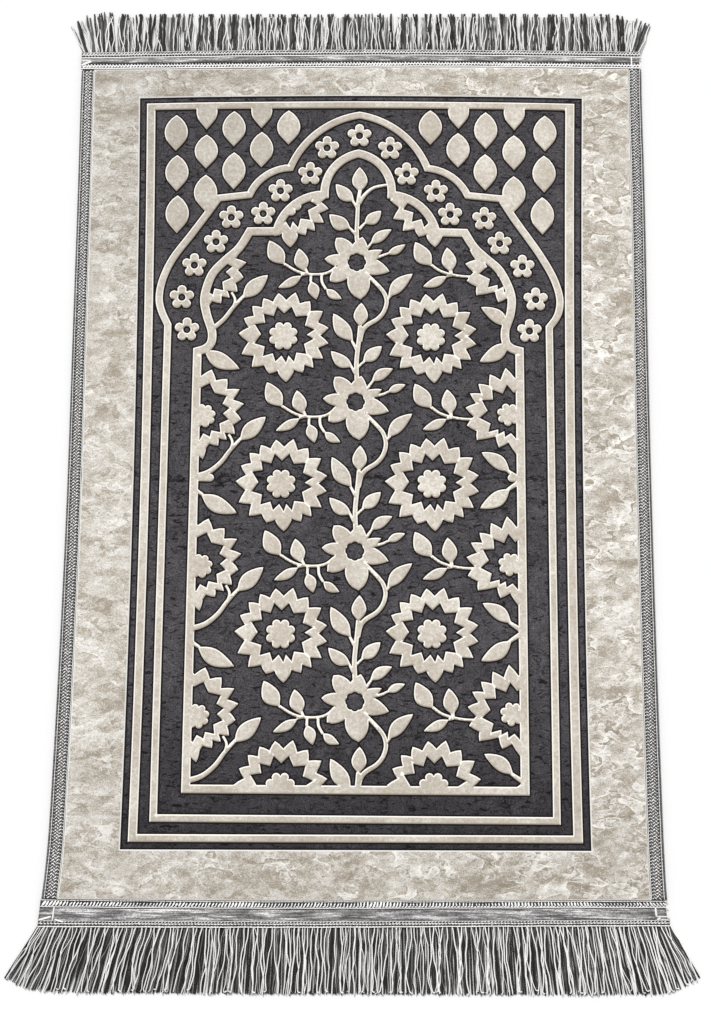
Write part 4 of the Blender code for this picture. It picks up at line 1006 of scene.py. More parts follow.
def border_relief(x, y):
    """Height that creases and puckers add to the border's velvet."""
    across, along, amount = CRUSH["right"] if x > 0 and y < 250 else CRUSH["left"]
    warp_x = x + WARP_REACH * noise.noise((x / WARP_SIZE, y / WARP_SIZE, 1.7))
    warp_y = y + WARP_REACH * noise.noise((x / WARP_SIZE, y / WARP_SIZE, 6.3))
    pillow = abs(noise.noise((warp_x / across, warp_y / along, 3.1)))
    small = abs(noise.noise((warp_x / SMALL_PUCKERS[0], warp_y / SMALL_PUCKERS[1], 9.4)))
    height = amount * (1.3 * min(pillow, 0.35) + 0.45 * min(small, 0.4) - 0.35)
    for crease in CREASES:
        if abs(x - crease.x) < 50 and abs(y - crease.y) < 60:
            turn = radians(crease.angle)
            wander = WANDER_REACH * noise.noise((x / WANDER_SIZE, y / WANDER_SIZE, 5.5))
            along = (x - crease.x) * cos(turn) + (y - crease.y) * sin(turn)
            off = (y - crease.y) * cos(turn) - (x - crease.x) * sin(turn) + wander
            fade = max(0, 1 - (2 * along / crease.length) ** 2)
            height += CREASE_GAIN * crease.lift * fade * bell(off / crease.width)
    return height


def face_height(x, y):
    """How far the cloth's face is above or below its level: the fold's trough and a slight unevenness."""
    unevenness = 0.15 * sin(x / 31 + y / 57) + 0.12 * sin(y / 23 - x / 71)
    return unevenness - FOLD["depth"] * bell((y - FOLD["y"] - 1.5 * sin(x / 60)) / FOLD["half_width"])


def ring_links(first, count):
    """The links of a closed ring of points."""
    return [(first + i, first + (i + 1) % count) for i in range(count)]


def triangulated(points, links):
    """Places and triangles of the area that the outermost links hold, cut along all of them."""
    places, _, triangles, *_ = delaunay_2d_cdt([Vector(point) for point in points], links, [], 1, 0.02)
    return np.array([tuple(place) for place in places]), np.array(triangles)


class Contours:
    """The lines where the cloth's face steps from one level to another, and the levels between them."""

    def __init__(self, design, step):
        points, links = [], []
        for outline in design.outlines():
            ring = stepped(outline, step)
            links += ring_links(len(points), len(ring))
            points += ring
        places, triangles = triangulated(points, links)
        centres = places[triangles].mean(1)
        self.levels = design.levels(centres[:, 0], centres[:, 1])
        self.flat = BVHTree.FromPolygons([(x, y, 0) for x, y in places], triangles.tolist())
        self.low, self.high = places.min(0), places.max(0)

        edges = self.edges(triangles)
        self.starts, self.ends = places[edges[:, 0]], places[edges[:, 1]]
        ways = self.ends - self.starts
        self.lengths = np.hypot(ways[:, 0], ways[:, 1])
        self.outward = np.stack([ways[:, 1], -ways[:, 0]], 1) / self.lengths[:, None]  # to the lower level
        samples = [(start + (end - start) * t, number)
                   for number, (start, end, length) in enumerate(zip(self.starts, self.ends, self.lengths))
                   for t in np.linspace(0, 1, max(2, int(length / SAMPLE_STEP)))]
        self.nearest = kdtree.KDTree(len(samples))
        for (x, y), number in samples:
            self.nearest.insert((x, y, 0), number)
        self.nearest.balance()

    def edges(self, triangles):
        """The ends of each edge between two levels, the higher level on its left."""
        owners = {}
        for (a, b, c), level in zip(triangles.tolist(), self.levels.tolist()):
            for pair in ((a, b), (b, c), (c, a)):
                owners[pair] = level
        return np.array([(a, b) for (a, b), level in owners.items()
                         if (b, a) in owners and owners[b, a] < level], int)

    def distance(self, x, y):
        return self.nearest.find((x, y, 0))[2]

    def level(self, x, y):
        return int(self.levels[self.flat.find_nearest((x, y, 0))[2]])


def loose_points(contours, pile):
    """Points that let the face bend: rows beside the contours, and a grid each for border and field."""
    loose = []
    halfway = (contours.starts + contours.ends) / 2
    for reach in BESIDE_CONTOUR:
        for (x, y), length in zip(halfway + reach * contours.outward, contours.lengths):
            if length > SHORT_EDGE and contours.distance(x, y) > OWN_ROOM * abs(reach):
                loose.append((x, y))
    (left, low), (right, high) = contours.low, contours.high
    for step, wanted in ((pile.border_grid / MM, (BORDER,)), (pile.field_grid / MM, (GROUND, FIGURE))):
        for row, y in enumerate(np.arange(low, high, step * ROW_SPACING)):
            for x in np.arange(left + (row % 2) * step / 2, right, step):
                if contours.distance(x, y) > CLEAR_OF_CONTOUR and contours.level(x, y) in wanted:
                    loose.append((x, y))
    return loose


def face_point(contours, x, y, below, above):
    """Height of a point of the face between its lowest and highest level, and what materials read there."""
    _, number, away = contours.nearest.find((x, y, 0))
    z = (LEVEL_TOP[below] + LEVEL_TOP[above]) / 2
    painted_slope_light = 0
    if below == above and below >= FIGURE:
        droop, fade = ROUNDED
        z -= droop * 2.718 ** (-away / fade)
    if above > BACKING:
        z += face_height(x, y)
    if above == BORDER and below == BORDER:
        blend = min(1, away / EDGE_REACH)
        relief = border_relief(x, y)
        slope = (border_relief(x + SLOPE_STEP * LIGHT_WAY.x, y + SLOPE_STEP * LIGHT_WAY.y) - relief) / SLOPE_STEP
        z += blend * relief
        # painted light and shade: the border's colour lightens where its relief rises towards the light and
        # darkens where it falls away
        painted_slope_light = -SLOPE_LIGHT_GAIN * slope * blend
    outward = contours.outward[number]
    # how far the edge faces the light: the figures' painted highlight and shade follow it
    facing = outward[1] - LIGHT_SLANT * outward[0]
    return z, {"edge": min(away, EDGE_REACH), "facing": facing, "painted_slope_light": painted_slope_light}


def put_in_order(elements, place):
    """Sort a bmesh's vertices or faces by place: an extruded rim comes in another order each run."""
    ranks = {element: rank for rank, element in enumerate(sorted(elements, key=place))}
    elements.sort(key=ranks.get)


def make_cloth(pile):
    """The cloth: the design's outlines cut into it, a soft step at each, and the velvet's creases."""
    design = Design()
    step = pile.contour_step / MM
    contours = Contours(design, step)
    points = stepped(design.cloth, step)
    links = ring_links(0, len(points))
    for start, end in zip(contours.starts, contours.ends):
        links.append((len(points), len(points) + 1))
        points += [start, end]
    places, triangles = triangulated(points + loose_points(contours, pile), links)
    levels = np.array([contours.level(x, y) for x, y in places[triangles].mean(1)])

    lowest = np.full(len(places), BORDER)
    highest = np.full(len(places), BACKING)
    for corner in triangles.T:
        np.minimum.at(lowest, corner, levels)
        np.maximum.at(highest, corner, levels)
    bm = bmesh.new()
    layers = {name: bm.verts.layers.float.new(name) for name in ("edge", "facing", "painted_slope_light")}
    for (x, y), below, above in zip(places, lowest, highest):
        z, values = face_point(contours, x, y, below, above)
        vert = bm.verts.new((x, y, z))
        for name, value in values.items():
            vert[layers[name]] = value
    bm.verts.ensure_lookup_table()
    for triangle, level in zip(triangles.tolist(), levels.tolist()):
        face = bm.faces.new([bm.verts[i] for i in triangle])
        face.material_index = level
    rim = [edge for edge in bm.edges if edge.is_boundary]
    for part in bmesh.ops.extrude_edge_only(bm, edges=rim)["geom"]:
        if isinstance(part, bmesh.types.BMVert):
            part.co.z = 0
    bmesh.ops.holes_fill(bm, edges=[edge for edge in bm.edges if edge.is_boundary], sides=0)
    bmesh.ops.recalc_face_normals(bm, faces=bm.faces)
    for edge in rim:
        if edge.is_valid:
            edge.smooth = False
    put_in_order(bm.verts, lambda vert: vert.co[:])
    put_in_order(bm.faces, lambda face: face.calc_center_median()[:])
    materials = [woven_back(pile), charcoal_pile(pile), cream_pile(pile), border_velvet(pile)]
    return add_piece("pile_cloth", bm, materials, ["rug_cloth"])


# ---------------------------------------------------------------- tubes: stitches, cords and yarns
UV_ROUND = 4  # u once round a yarn: two of the yarn material's slanting lines fit in, one for each ply
STITCH_TURN, STITCH_OFF, STITCH_TINT = 0.14, 0.12, 0.05  # unevenness in radians, mm and tint
STITCH_ROUND, STITCH_BLUNT = 0.54, 0.06  # a stitch narrows to a point at the first, but is cut off before it
CORD_WANDER, CORD_WAVE = 0.12, 9  # mm to each side, and of the sine that it follows
CORD_END = 0.4  # a cord's ends are drawn in to this part


class Sections:
    """Many tubes that share one material: each is a row of closed cross-sections."""

    def __init__(self, sides, rings):
        self.sides, self.rings = sides, rings
        self.places, self.tints = [], []

    def add(self, sections, tints):
        """Sections are tubes x (rings + 1) x sides x 3, in millimetres; tints has a number for each tube."""
        self.places.append(sections)
        self.tints.append(np.broadcast_to(tints, len(sections)))

    def add_tubes(self, paths, radii, tints, flatness=1.0):
        """Round tubes along paths (tubes x (rings + 1) x 3), their radii given for each ring."""
        ways = np.gradient(paths[:, :, :2], axis=1)
        ways /= np.maximum(np.linalg.norm(ways, axis=2, keepdims=True), 1e-9)
        across = np.stack([-ways[:, :, 1], ways[:, :, 0]], 2)
        angles = 2 * pi * np.arange(self.sides) / self.sides
        sections = np.empty((*paths.shape[:2], self.sides, 3))
        radii = np.broadcast_to(radii, paths.shape[:2])
        for number, angle in enumerate(angles):
            sections[:, :, number, :2] = paths[:, :, :2] + (radii * cos(angle))[..., None] * across
            sections[:, :, number, 2] = paths[:, :, 2] + radii * sin(angle) * flatness
        self.add(sections, tints)

    def mesh(self):
        """The tubes as one mesh, each a copy of a capped cylinder."""
        cylinder = bmesh.new()
        bmesh.ops.create_cone(cylinder, cap_ends=True, segments=self.sides, radius1=1, radius2=1, depth=1,
                              matrix=Matrix.Translation((0, 0, 0.5)))
        upright = [e for e in cylinder.edges if abs(e.verts[0].co.z - e.verts[1].co.z) > 0.5]
        bmesh.ops.subdivide_edges(cylinder, edges=upright, cuts=self.rings - 1)
        cylinder.verts.index_update()
        rings = np.array([round(v.co.z * self.rings) for v in cylinder.verts])
        sides = np.array([round(atan2(v.co.y, v.co.x) / (2 * pi) * self.sides) % self.sides
                          for v in cylinder.verts])
        corners = [[v.index for v in face.verts] for face in cylinder.faces]
        cylinder.free()

        sections = np.concatenate(self.places)
        tints = np.concatenate(self.tints)
        verts = sections[:, rings, sides]
        lengths = np.linalg.norm(np.diff(sections[:, :, 0], axis=1), axis=2).cumsum(1)
        along = np.concatenate([np.zeros((len(sections), 1)), lengths], 1)
        mesh = bpy.data.meshes.new("tubes")
        count = verts.shape[1]
        faces = [[i + copy * count for i in face] for copy in range(len(sections)) for face in corners]
        mesh.from_pydata(verts.reshape(-1, 3).tolist(), [], faces)
        tint = mesh.attributes.new("tint", "FLOAT", "POINT")
        tint.data.foreach_set("value", np.repeat(tints, count).astype(np.float32))
        flat_corners = [i for face in corners for i in face]
        turns = sides[flat_corners] / self.sides
        start = 0
        for face in corners:  # the last side's far corners lie at a full turn and not at none
            stretch = turns[start:start + len(face)]
            if stretch.max() - stretch.min() > 0.5 and len(face) == 4:
                stretch[stretch < 0.5] += 1
            start += len(face)
        uv = mesh.uv_layers.new(name="yarn")
        reach = along[:, rings[flat_corners]]
        uvs = np.stack([np.broadcast_to(turns * UV_ROUND, reach.shape), reach], 2)
        uv.data.foreach_set("uv", uvs.reshape(-1).astype(np.float32))
        return mesh


def join_meshes(meshes):
    """One bmesh of several meshes, their material slots numbered in order."""
    bm = bmesh.new()
    for slot, mesh in enumerate(meshes):
        first = len(bm.faces)
        bm.from_mesh(mesh)
        bm.faces.ensure_lookup_table()
        for face in bm.faces[first:]:
            face.material_index = slot
        bpy.data.meshes.remove(mesh)
    return bm


# offset is across the trim, slant in degrees from its run, phase a part of the pitch; fan is how far the
# slant turns from the trim's start to its end, and clump makes the stitches fuller in places
Row = namedtuple("Row", "offset slant length radius height tint phase fan clump", defaults=(0, 0))


def stitch_row(stitches, place, start, stop, pitch, row, rng, uneven=0.12):
    """A row of short fat stitches: place turns a distance along and across the trim into x and y."""
    centres = np.arange(start + pitch * (0.5 + row.phase), stop - pitch * 0.3, pitch)
    centres = centres + rng.normal(0, uneven * pitch * 0.4, len(centres))
    along = (centres - start) / (stop - start)
    turn = np.radians(row.slant + row.fan * along ** 2) + rng.normal(0, STITCH_TURN, len(centres))
    lush = 1 + row.clump * np.sin(centres / 17) * np.sin(centres / 41 + 1)
    long = row.length * (1 + rng.normal(0, uneven, len(centres))) * lush
    off = row.offset + rng.normal(0, STITCH_OFF, len(centres))
    t = np.linspace(-0.5, 0.5, stitches.rings + 1)
    s = centres[:, None] + (long * np.cos(turn))[:, None] * t
    across = off[:, None] + (long * np.sin(turn))[:, None] * t
    x, y = place(s, across)
    z = row.height + row.radius * (0.4 - 1.6 * t ** 2) + 0 * s
    profile = np.sqrt(np.maximum(1 - (t / STITCH_ROUND) ** 2, STITCH_BLUNT))
    radii = row.radius * profile[None, :] * ((1 + rng.normal(0, uneven, len(centres))) * lush)[:, None]
    tints = np.clip(row.tint + rng.normal(0, STITCH_TINT, len(centres)), 0, 1)
    stitches.add_tubes(np.stack([x, y, z], 2), radii, tints, flatness=0.75)


Line = namedtuple("Line", "offset radius height tint")  # a cord along a trim, offset across it


def cord_line(place, start, stop, offset, radius, height, tint, bead, pitch, step=1.23):
    """A cord that runs along the trim, its thickness swelling at each bead."""
    s = np.arange(start, stop, step)
    cord = Sections(6, len(s) - 1)
    x, y = place(s, offset + CORD_WANDER * np.sin(s / CORD_WAVE))
    swell = 1 + bead * np.sin(2 * pi * s / pitch)
    swell[[0, -1]] = CORD_END
    cord.add_tubes(np.stack([x, y, np.full(len(s), height)], 1)[None], (radius * swell)[None], [tint],
                   flatness=0.85)
    return cord.mesh()


def swept_base(place, stations, profile, tint):
    """The trim's woven ground: a closed profile of (across, height) carried along it."""
    across, heights = (np.array(values) for values in zip(*profile))
    base = Sections(len(profile), len(stations) - 1)
    x, y = place(np.array(stations)[:, None], across[None, :])
    base.add(np.stack([x, y, np.broadcast_to(heights, x.shape)], 2)[None], [tint])
    return base.mesh()


# ---------------------------------------------------------------- the side edgings
def along_side(hand):
    """Where a distance along an edging (y) and across it (from the rug's edge) lies on the rug."""
    inward = 1 if hand == "left" else -1
    return lambda s, off: (SIDE_X[hand](s) + inward * off * braid_stretch(s), s + 0 * off)


BRAID_ROWS = table(Row,  # the offset is from the rug's edge
    (0.9, 0, 2.2, 0.62, 3.95, 0.16, 0.0),
    (2.6, 0, 2.0, 0.62, 3.70, 0.97, 0.5),
    (4.2, 15, 1.9, 0.92, 3.45, 0.00, 0.0),
    (4.5, -60, 2.0, 0.62, 3.45, 0.95, 0.5),
    (6.5, 48, 3.0, 0.95, 3.55, 1.00, 0.0),
    (8.7, -48, 3.0, 0.95, 3.55, 1.00, 0.5),
    (10.9, 48, 3.0, 0.95, 3.55, 1.00, 0.05),
    (13.3, 20, 2.0, 0.85, 3.50, 0.03, 0.5),
    (13.0, -60, 2.0, 0.62, 3.50, 0.95, 0.0),
)


ROLL_TINT = {"left": 0.50, "right": 0.28}
BRAID_LINES = {  # each cord and how much its beads swell
    hand: [(Line(0.9, 0.85, 3.4, tint), 0.10), (Line(2.5, 0.6, 3.3, 0.90), 0.2),
           (Line(14.6, 0.55, 3.75, 1.00), 0.15)]
    for hand, tint in ROLL_TINT.items()
}
STATION_STEP = 4.0  # distance between the cross-sections of a trim's woven ground
GROUND_TINT = {"braid": 0.26, "tape": 0.10, "header": 0.3}


def make_edging(hand, trim):
    """A braid: a grey roll at the rug's side, beads, slanted white stitches on black, loops by the velvet."""
    rng = np.random.default_rng(trim.seed + (hand == "right"))
    place = along_side(hand)
    near, far = (float(TAPE_Y[end, "inner"](SIDE_X[hand](0))) for end in ("near", "far"))
    start, stop = near + 2 * GAP, far - 2 * GAP
    pitch = trim.stitch_pitch / MM
    profile = [(0, 0.2), (0.15, 0), (PIPING_W, 0), (PIPING_W, SHEET_BOTTOM), (EDGING_W - 0.2, SHEET_BOTTOM),
               (EDGING_W, 2.9), (EDGING_W - 0.9, 3.4), (8, 3.1), (3.0, 3.1), (1.9, 3.6), (1.1, 3.9),
               (0.4, 3.6), (0, 3.0)]
    if hand == "right":
        profile = profile[::-1]
    stations = np.arange(start, stop, STATION_STEP)
    meshes = [swept_base(place, stations, profile[::-1], GROUND_TINT["braid"])]
    for line, bead in BRAID_LINES[hand]:
        meshes.append(cord_line(place, start, stop, *line, bead=bead, pitch=pitch))
    stitches = Sections(6, 4)
    for row in BRAID_ROWS:
        stitch_row(stitches, place, start, stop, pitch, row, rng)
    meshes.append(stitches.mesh())
    materials = [twisted_yarn("braid_ground_" + hand, trim, 0.9)] + [
        twisted_yarn(f"braid_rayon_{hand}_{i}", trim, 0.6) for i in range(len(meshes) - 1)]
    return add_piece("braid_" + hand, join_meshes(meshes), materials, ["edging_" + hand])


# ---------------------------------------------------------------- the end tapes
TAPE_DEPTH = {"near": 29.5, "far": 22.0}  # the middle widths of the tapes
TAPE_FLARE = {"near": (0.8, 3.0), "far": (1.4, 1.4)}  # how far their ends lie out at inner and outer edge
Bar = namedtuple("Bar", "hand start stop radius")  # both ends as (in from the tape's end, across the tape)
CORNER_BARS = {  # the seams of the tapes' folded ends
    "near": table(Bar,
        ("left", (15.8, 8.5), (15.2, 23.0), 1.3), ("left", (0.8, 21.8), (13.2, 18.2), 1.3),
        ("left", (17.5, 21.2), (27.0, 24.0), 1.1), ("right", (14.5, 8.5), (14.0, 18.5), 1.5),
        ("right", (0.8, 18.6), (14.0, 18.2), 1.1), ("right", (0.8, 22.2), (11.0, 21.6), 0.8),
        ("right", (10.0, 19.5), (13.5, 22.5), 1.6)),
    "far": table(Bar, ("left", (0.5, 5.5), (12.0, 9.8), 1.5), ("right", (11.8, 1.0), (12.4, 14.0), 1.2)),
}
TAPE_ROWS = {  # the offset is from the tape's inner edge
    "near": table(Row,
        (1.0, 60, 2.0, 0.55, 3.30, 0.02, 0.0),
        (4.2, -55, 4.6, 1.50, 3.45, 1.00, 0.3, -75, 0.38),
        (6.4, -15, 3.0, 0.90, 3.50, 0.98, 0.0),
        (8.9, 0, 2.4, 0.50, 3.45, 0.30, 0.4),
        (24.0, -30, 2.8, 0.60, 3.35, 0.92, 0.0),
        (24.3, 35, 2.4, 0.75, 3.40, 0.02, 0.5, 0, 0.5),
        (26.3, 0, 2.4, 0.50, 3.30, 0.90, 0.2),
        (27.3, 20, 1.9, 0.55, 3.35, 0.30, 0.6),
        (28.6, 0, 2.6, 0.75, 3.20, 0.98, 0.1),
    ),
    "far": table(Row,
        (6.6, 60, 2.0, 0.60, 3.50, 0.05, 0.0),
        (3.0, 40, 3.2, 1.20, 3.45, 1.00, 0.2, 0, 0.3),
        (5.3, -40, 2.6, 1.00, 3.40, 0.98, 0.6),
        (7.4, 0, 2.4, 0.50, 3.45, 0.30, 0.4),
        (16.8, 30, 2.4, 0.60, 3.35, 0.10, 0.0),
        (17.2, -40, 2.4, 0.60, 3.35, 0.85, 0.5),
        (19.2, 40, 2.8, 0.95, 3.35, 1.00, 0.0, 0, 0.3),
        (20.9, 0, 2.4, 0.70, 3.25, 0.75, 0.4),
    ),
}
TAPE_LINES = {
    "near": table(Line,
        (0.8, 0.7, 3.3, 0.85), (7.9, 0.65, 3.55, 1.00), (22.9, 0.55, 3.45, 0.85), (25.6, 0.65, 3.2, 0.95),
        (29.0, 0.85, 3.10, 1.00)),
    "far": table(Line,
        (0.9, 1.0, 3.7, 1.00), (4.2, 0.90, 3.30, 0.97), (14.8, 0.95, 3.50, 1.00), (18.2, 0.9, 3.2, 0.85),
        (21.4, 0.6, 3.10, 0.75)),
}
SATIN = {"near": (9.6, 22.4), "far": (8.0, 14.2)}  # between which offsets the satin shows
SEAM_SWELL = np.array([0.9, 1.2, 1.3, 1.3, 1.3, 1.2, 0.9])  # a seam's radius along it, times its own
SEAM_HEIGHT = 3.9
TAPE_INSET = 0.5  # mm from the rug's side to the tape's end


def along_tape(end):
    """Where a distance along a tape (x) and across it (from its inner edge) lies on the rug."""
    inner_flare, outer_flare = TAPE_FLARE[end]

    def place(s, off):
        inner, outer = TAPE_Y[end, "inner"](s), TAPE_Y[end, "outer"](s)
        part = off / TAPE_DEPTH[end]
        flare = inner_flare + (outer_flare - inner_flare) * part
        return s + flare * (s / 345) ** 9, inner + (outer - inner) * part
    return place


def make_tape(end, trim):
    """A tape: satin between a slanted row by the velvet and a stitched outer band."""
    rng = np.random.default_rng(trim.seed + 20 + (end == "far"))
    place = along_tape(end)
    middle = float(TAPE_Y[end, "inner"](0))
    left, right = float(SIDE_X["left"](middle)) + TAPE_INSET, float(SIDE_X["right"](middle)) - TAPE_INSET
    pitch = trim.stitch_pitch / MM
    stations = np.arange(left, right, STATION_STEP)
    depth = TAPE_DEPTH[end]
    profile = [(0.0, SHEET_BOTTOM), (0.0, 3.1), (1, 3.3), (depth / 3, 3.4), (depth * 0.66, 3.4),
               (depth * 0.72, 3.2), (depth - 1, 3.1), (depth, 2.9), (depth, SHEET_BOTTOM)]
    start, stop = SATIN[end]
    satin = [(start, 2.9), (start, 3.5), (start + 1.5, 3.75), ((start + stop) / 2, 3.6), (stop - 1.5, 3.7),
             (stop, 3.5), (stop, 2.9)]
    if end == "far":
        profile, satin = profile[::-1], satin[::-1]
    meshes = [swept_base(place, stations, profile, GROUND_TINT["tape"])]
    ribbon_mesh = swept_base(place, stations, satin, 0.5)
    stitches = Sections(6, 4)
    for row in TAPE_ROWS[end]:
        stitch_row(stitches, place, left + 1, right - 1, pitch, row, rng)
    meshes.append(stitches.mesh())
    for line in TAPE_LINES[end]:
        meshes.append(cord_line(place, left, right, *line, bead=0.15, pitch=pitch))
    seams = Sections(6, len(SEAM_SWELL) - 1)
    t = np.linspace(0, 1, len(SEAM_SWELL))
    for bar in CORNER_BARS[end]:
        (first, first_off), (last, last_off) = bar.start, bar.stop
        inward = first + (last - first) * t
        along = left + inward if bar.hand == "left" else right - inward
        x, y = place(along, first_off + (last_off - first_off) * t)
        seams.add_tubes(np.stack([x, y, np.full(len(t), SEAM_HEIGHT)], 1)[None],
                        bar.radius * SEAM_SWELL[None], [1.0], flatness=0.6)
    meshes.append(seams.mesh())
    yarns = [twisted_yarn(f"tape_cotton_{end}_{i}", trim, 0.75) for i in range(len(meshes))]
    bm = join_meshes([*meshes, ribbon_mesh])
    return add_piece("tape_" + end + "_woven", bm, [*yarns, satin_ribbon(trim)], ["tape_" + end])


# ---------------------------------------------------------------- the fringes
YARN_STEPS = np.array([0, 0.08, 0.18, 0.29, 0.40, 0.51, 0.62, 0.73, 0.83, 0.91, 0.945, 0.965, 0.985, 1.0])
YARN_SIDES = {"near": 6, "far": 5}  # the far yarns are seen smaller
ROOT_DEPTH = 0.15  # part of the header's width from which the yarns start
LENGTH_JITTER = 0.008
HOOK_START = 0.955  # part of a yarn's length from which its tip may hook
FLOOR_CLEAR = 0.02
FRINGE_INSET = 2.6  # mm by which the header's end falls short of the tape's flare
YARN_TAPER = ([0, 0.05, 0.9, 1], [0.75, 1, 1, 0.85])  # part of the length, and of the yarn's radius there
YARN_UNEVEN = (0.82, 1.15)  # the yarns' radii lie between these, as parts of their layer's
# jitter and spread make the pitch and the tint uneven; reach is a part of the length to the tips; splay and
# waver turn a yarn in radians; curl is the part of hooked tips; clump and gather draw each group together
Layer = namedtuple("Layer", "pitch jitter radius flatness tint spread reach waver splay curl clump gather "
                            "group height rise")


def yarn_paths(end, roots, rng, layer):
    """Paths from the header to the tips: each yarn leans as the table says, wavers, and may hook."""
    outward = 1 if end == "far" else -1
    count = len(roots)
    start_y = header_line(roots, end, ROOT_DEPTH)
    length = np.abs(TIP[end](roots) - start_y) * layer.reach * (1 + rng.normal(0, LENGTH_JITTER, count))
    groups = (np.arange(count) + rng.integers(0, 2, count)) // layer.group
    pull = np.zeros(count)
    for number in np.unique(groups):
        members = groups == number
        to_middle = roots[members].mean() - roots[members]
        roots[members] += layer.clump * to_middle
        pull[members] = layer.gather * (1 - layer.clump) * to_middle
    t = YARN_STEPS[None, :]

    def wave(low, high):
        """A sine along each yarn, of a random number of waves and a random start."""
        return np.sin(2 * pi * (rng.uniform(low, high, (count, 1)) * t + rng.uniform(0, 1, (count, 1))))

    heading = np.arctan2(LEAN[end](roots) + pull, length)[:, None]
    heading = heading + layer.splay * rng.normal(0, 1, (count, 1))
    sway = rng.uniform(0.5, 1.2, (count, 1)) * wave(0.6, 1.5) + 0.7 * wave(2.0, 3.6)
    heading = heading + layer.waver * sway
    hooked = rng.uniform(0, 1, count) < layer.curl
    curls = np.where(hooked, rng.choice([-1, 1], count) * rng.uniform(0.8, 2.2, count), 0)
    heading = heading + curls[:, None] * np.clip((t - HOOK_START) / 0.045, 0, 1)
    steps = length[:, None] * np.diff(YARN_STEPS)[None, :]
    none = np.zeros((count, 1))
    x = roots[:, None] + np.concatenate([none, (steps * np.sin(heading[:, 1:])).cumsum(1)], 1)
    y = start_y[:, None] + outward * np.concatenate([none, (steps * np.cos(heading[:, 1:])).cumsum(1)], 1)
    z = layer.height + layer.rise * np.sin(pi * t) + 0.25 * rng.normal(0, 1, (count, 1)) * np.sin(pi * t)
    return np.stack([x, y, z + 0 * x], 2)


FRINGE_LAYERS = {
    "near": table(Layer,
        (3.0, 0.10, 2.1, 0.35, 0.00, 0.03, 0.985, 0.02, 0.01, 0.0, 0.0, 0.0, 1, 0.8, 0.0),
        (3.8, 0.20, 1.3, 0.45, 0.10, 0.09, 0.995, 0.06, 0.02, 0.0, 0.0, 0.5, 4, 1.2, 0.2),
        (9.0, 0.30, 0.70, 0.9, 0.55, 0.14, 0.99, 0.15, 0.05, 0.1, 0.0, 0.3, 2, 1.6, 0.3),
        (5.2, 0.12, 1.12, 0.9, 1.00, 0.04, 0.995, 0.14, 0.03, 0.4, 0.0, 0.45, 2, 1.8, 0.7),
        (21.0, 0.40, 0.75, 0.9, 1.00, 0.04, 1.00, 0.20, 0.06, 0.5, 0.0, 0.2, 2, 2.4, 0.9),
    ),
    "far": table(Layer,
        (2.7, 0.20, 1.0, 0.7, 0.30, 0.18, 0.95, 0.10, 0.05, 0.0, 0.0, 0.6, 2, 0.9, 0.0),
        (5.0, 0.20, 0.75, 0.8, 0.88, 0.08, 0.96, 0.15, 0.08, 0.3, 0.0, 0.5, 2, 1.4, 0.3),
        (3.7, 0.30, 1.05, 0.7, 0.08, 0.08, 1.03, 0.09, 0.06, 0.0, 0.35, 0.8, 4, 1.7, 0.4),
        (8.0, 0.30, 0.7, 0.9, 0.93, 0.06, 0.97, 0.18, 0.10, 0.4, 0.0, 0.3, 2, 2.0, 0.6),
    ),
}


def make_fringe(end, trim):
    """A fringe: a bed of charcoal yarns and light yarns that waver over it, from the strip under the tape."""
    rng = np.random.default_rng(trim.seed + 40 + (end == "far"))
    inner = float(header_line(0, end, 1))
    overhang = TAPE_FLARE[end][1] - FRINGE_INSET
    left, right = float(SIDE_X["left"](inner)) - overhang, float(SIDE_X["right"](inner)) + overhang
    outward = 1 if end == "far" else -1

    def header_place(s, across):
        return s + 0 * across, header_line(s, end, 1) + outward * across

    profile = [(0, 0), (0, 1.5), (1, 1.8), (6, 1.8), (HEADER_W, 1.3), (HEADER_W, 0)]
    if end == "far":
        profile = profile[::-1]
    meshes = [swept_base(header_place, np.arange(left, right, 5.0), profile, GROUND_TINT["header"])]
    yarns = Sections(YARN_SIDES[end], len(YARN_STEPS) - 1)
    taper = np.interp(YARN_STEPS, *YARN_TAPER)
    for layer in FRINGE_LAYERS[end]:
        roots = np.arange(left + layer.pitch / 2, right, layer.pitch)
        roots = roots + rng.normal(0, layer.jitter * layer.pitch, len(roots))
        paths = yarn_paths(end, roots, rng, layer)
        radii = layer.radius * taper[None] * rng.uniform(*YARN_UNEVEN, (len(roots), 1))
        tints = np.clip(rng.normal(layer.tint, layer.spread, len(roots)), 0, 1)
        yarns.add_tubes(paths, radii, tints, layer.flatness)
    for block in yarns.places:
        block[..., 2] = np.maximum(block[..., 2], FLOOR_CLEAR)
    meshes.append(yarns.mesh())
    materials = [twisted_yarn("fringe_header_" + end, trim, 0.9),
                 twisted_yarn("fringe_cotton_" + end, trim, 0.7)]
    return add_piece("yarns_" + end, join_meshes(meshes), materials, ["fringe_" + end])


# ---------------------------------------------------------------- operators
class RUG_OT_add_cloth(bpy.types.Operator):
    """Make the cut-pile cloth with its design"""

    bl_idname = "rug.add_cloth"
    bl_label = "Pile cloth"

    def execute(self, context):
        make_cloth(context.scene.rug_pile)
        return {"FINISHED"}


class RUG_OT_add_edgings(bpy.types.Operator):
    """Make the two braided side edgings"""

    bl_idname = "rug.add_edgings"
    bl_label = "Braided edgings"

    def execute(self, context):
        for hand in ("left", "right"):
            make_edging(hand, context.scene.rug_trim)
        return {"FINISHED"}


class RUG_OT_add_tapes(bpy.types.Operator):
    """Make the two end tapes"""

    bl_idname = "rug.add_tapes"
    bl_label = "End tapes"

    def execute(self, context):
        for end in TAPES:
            make_tape(end, context.scene.rug_trim)
        return {"FINISHED"}


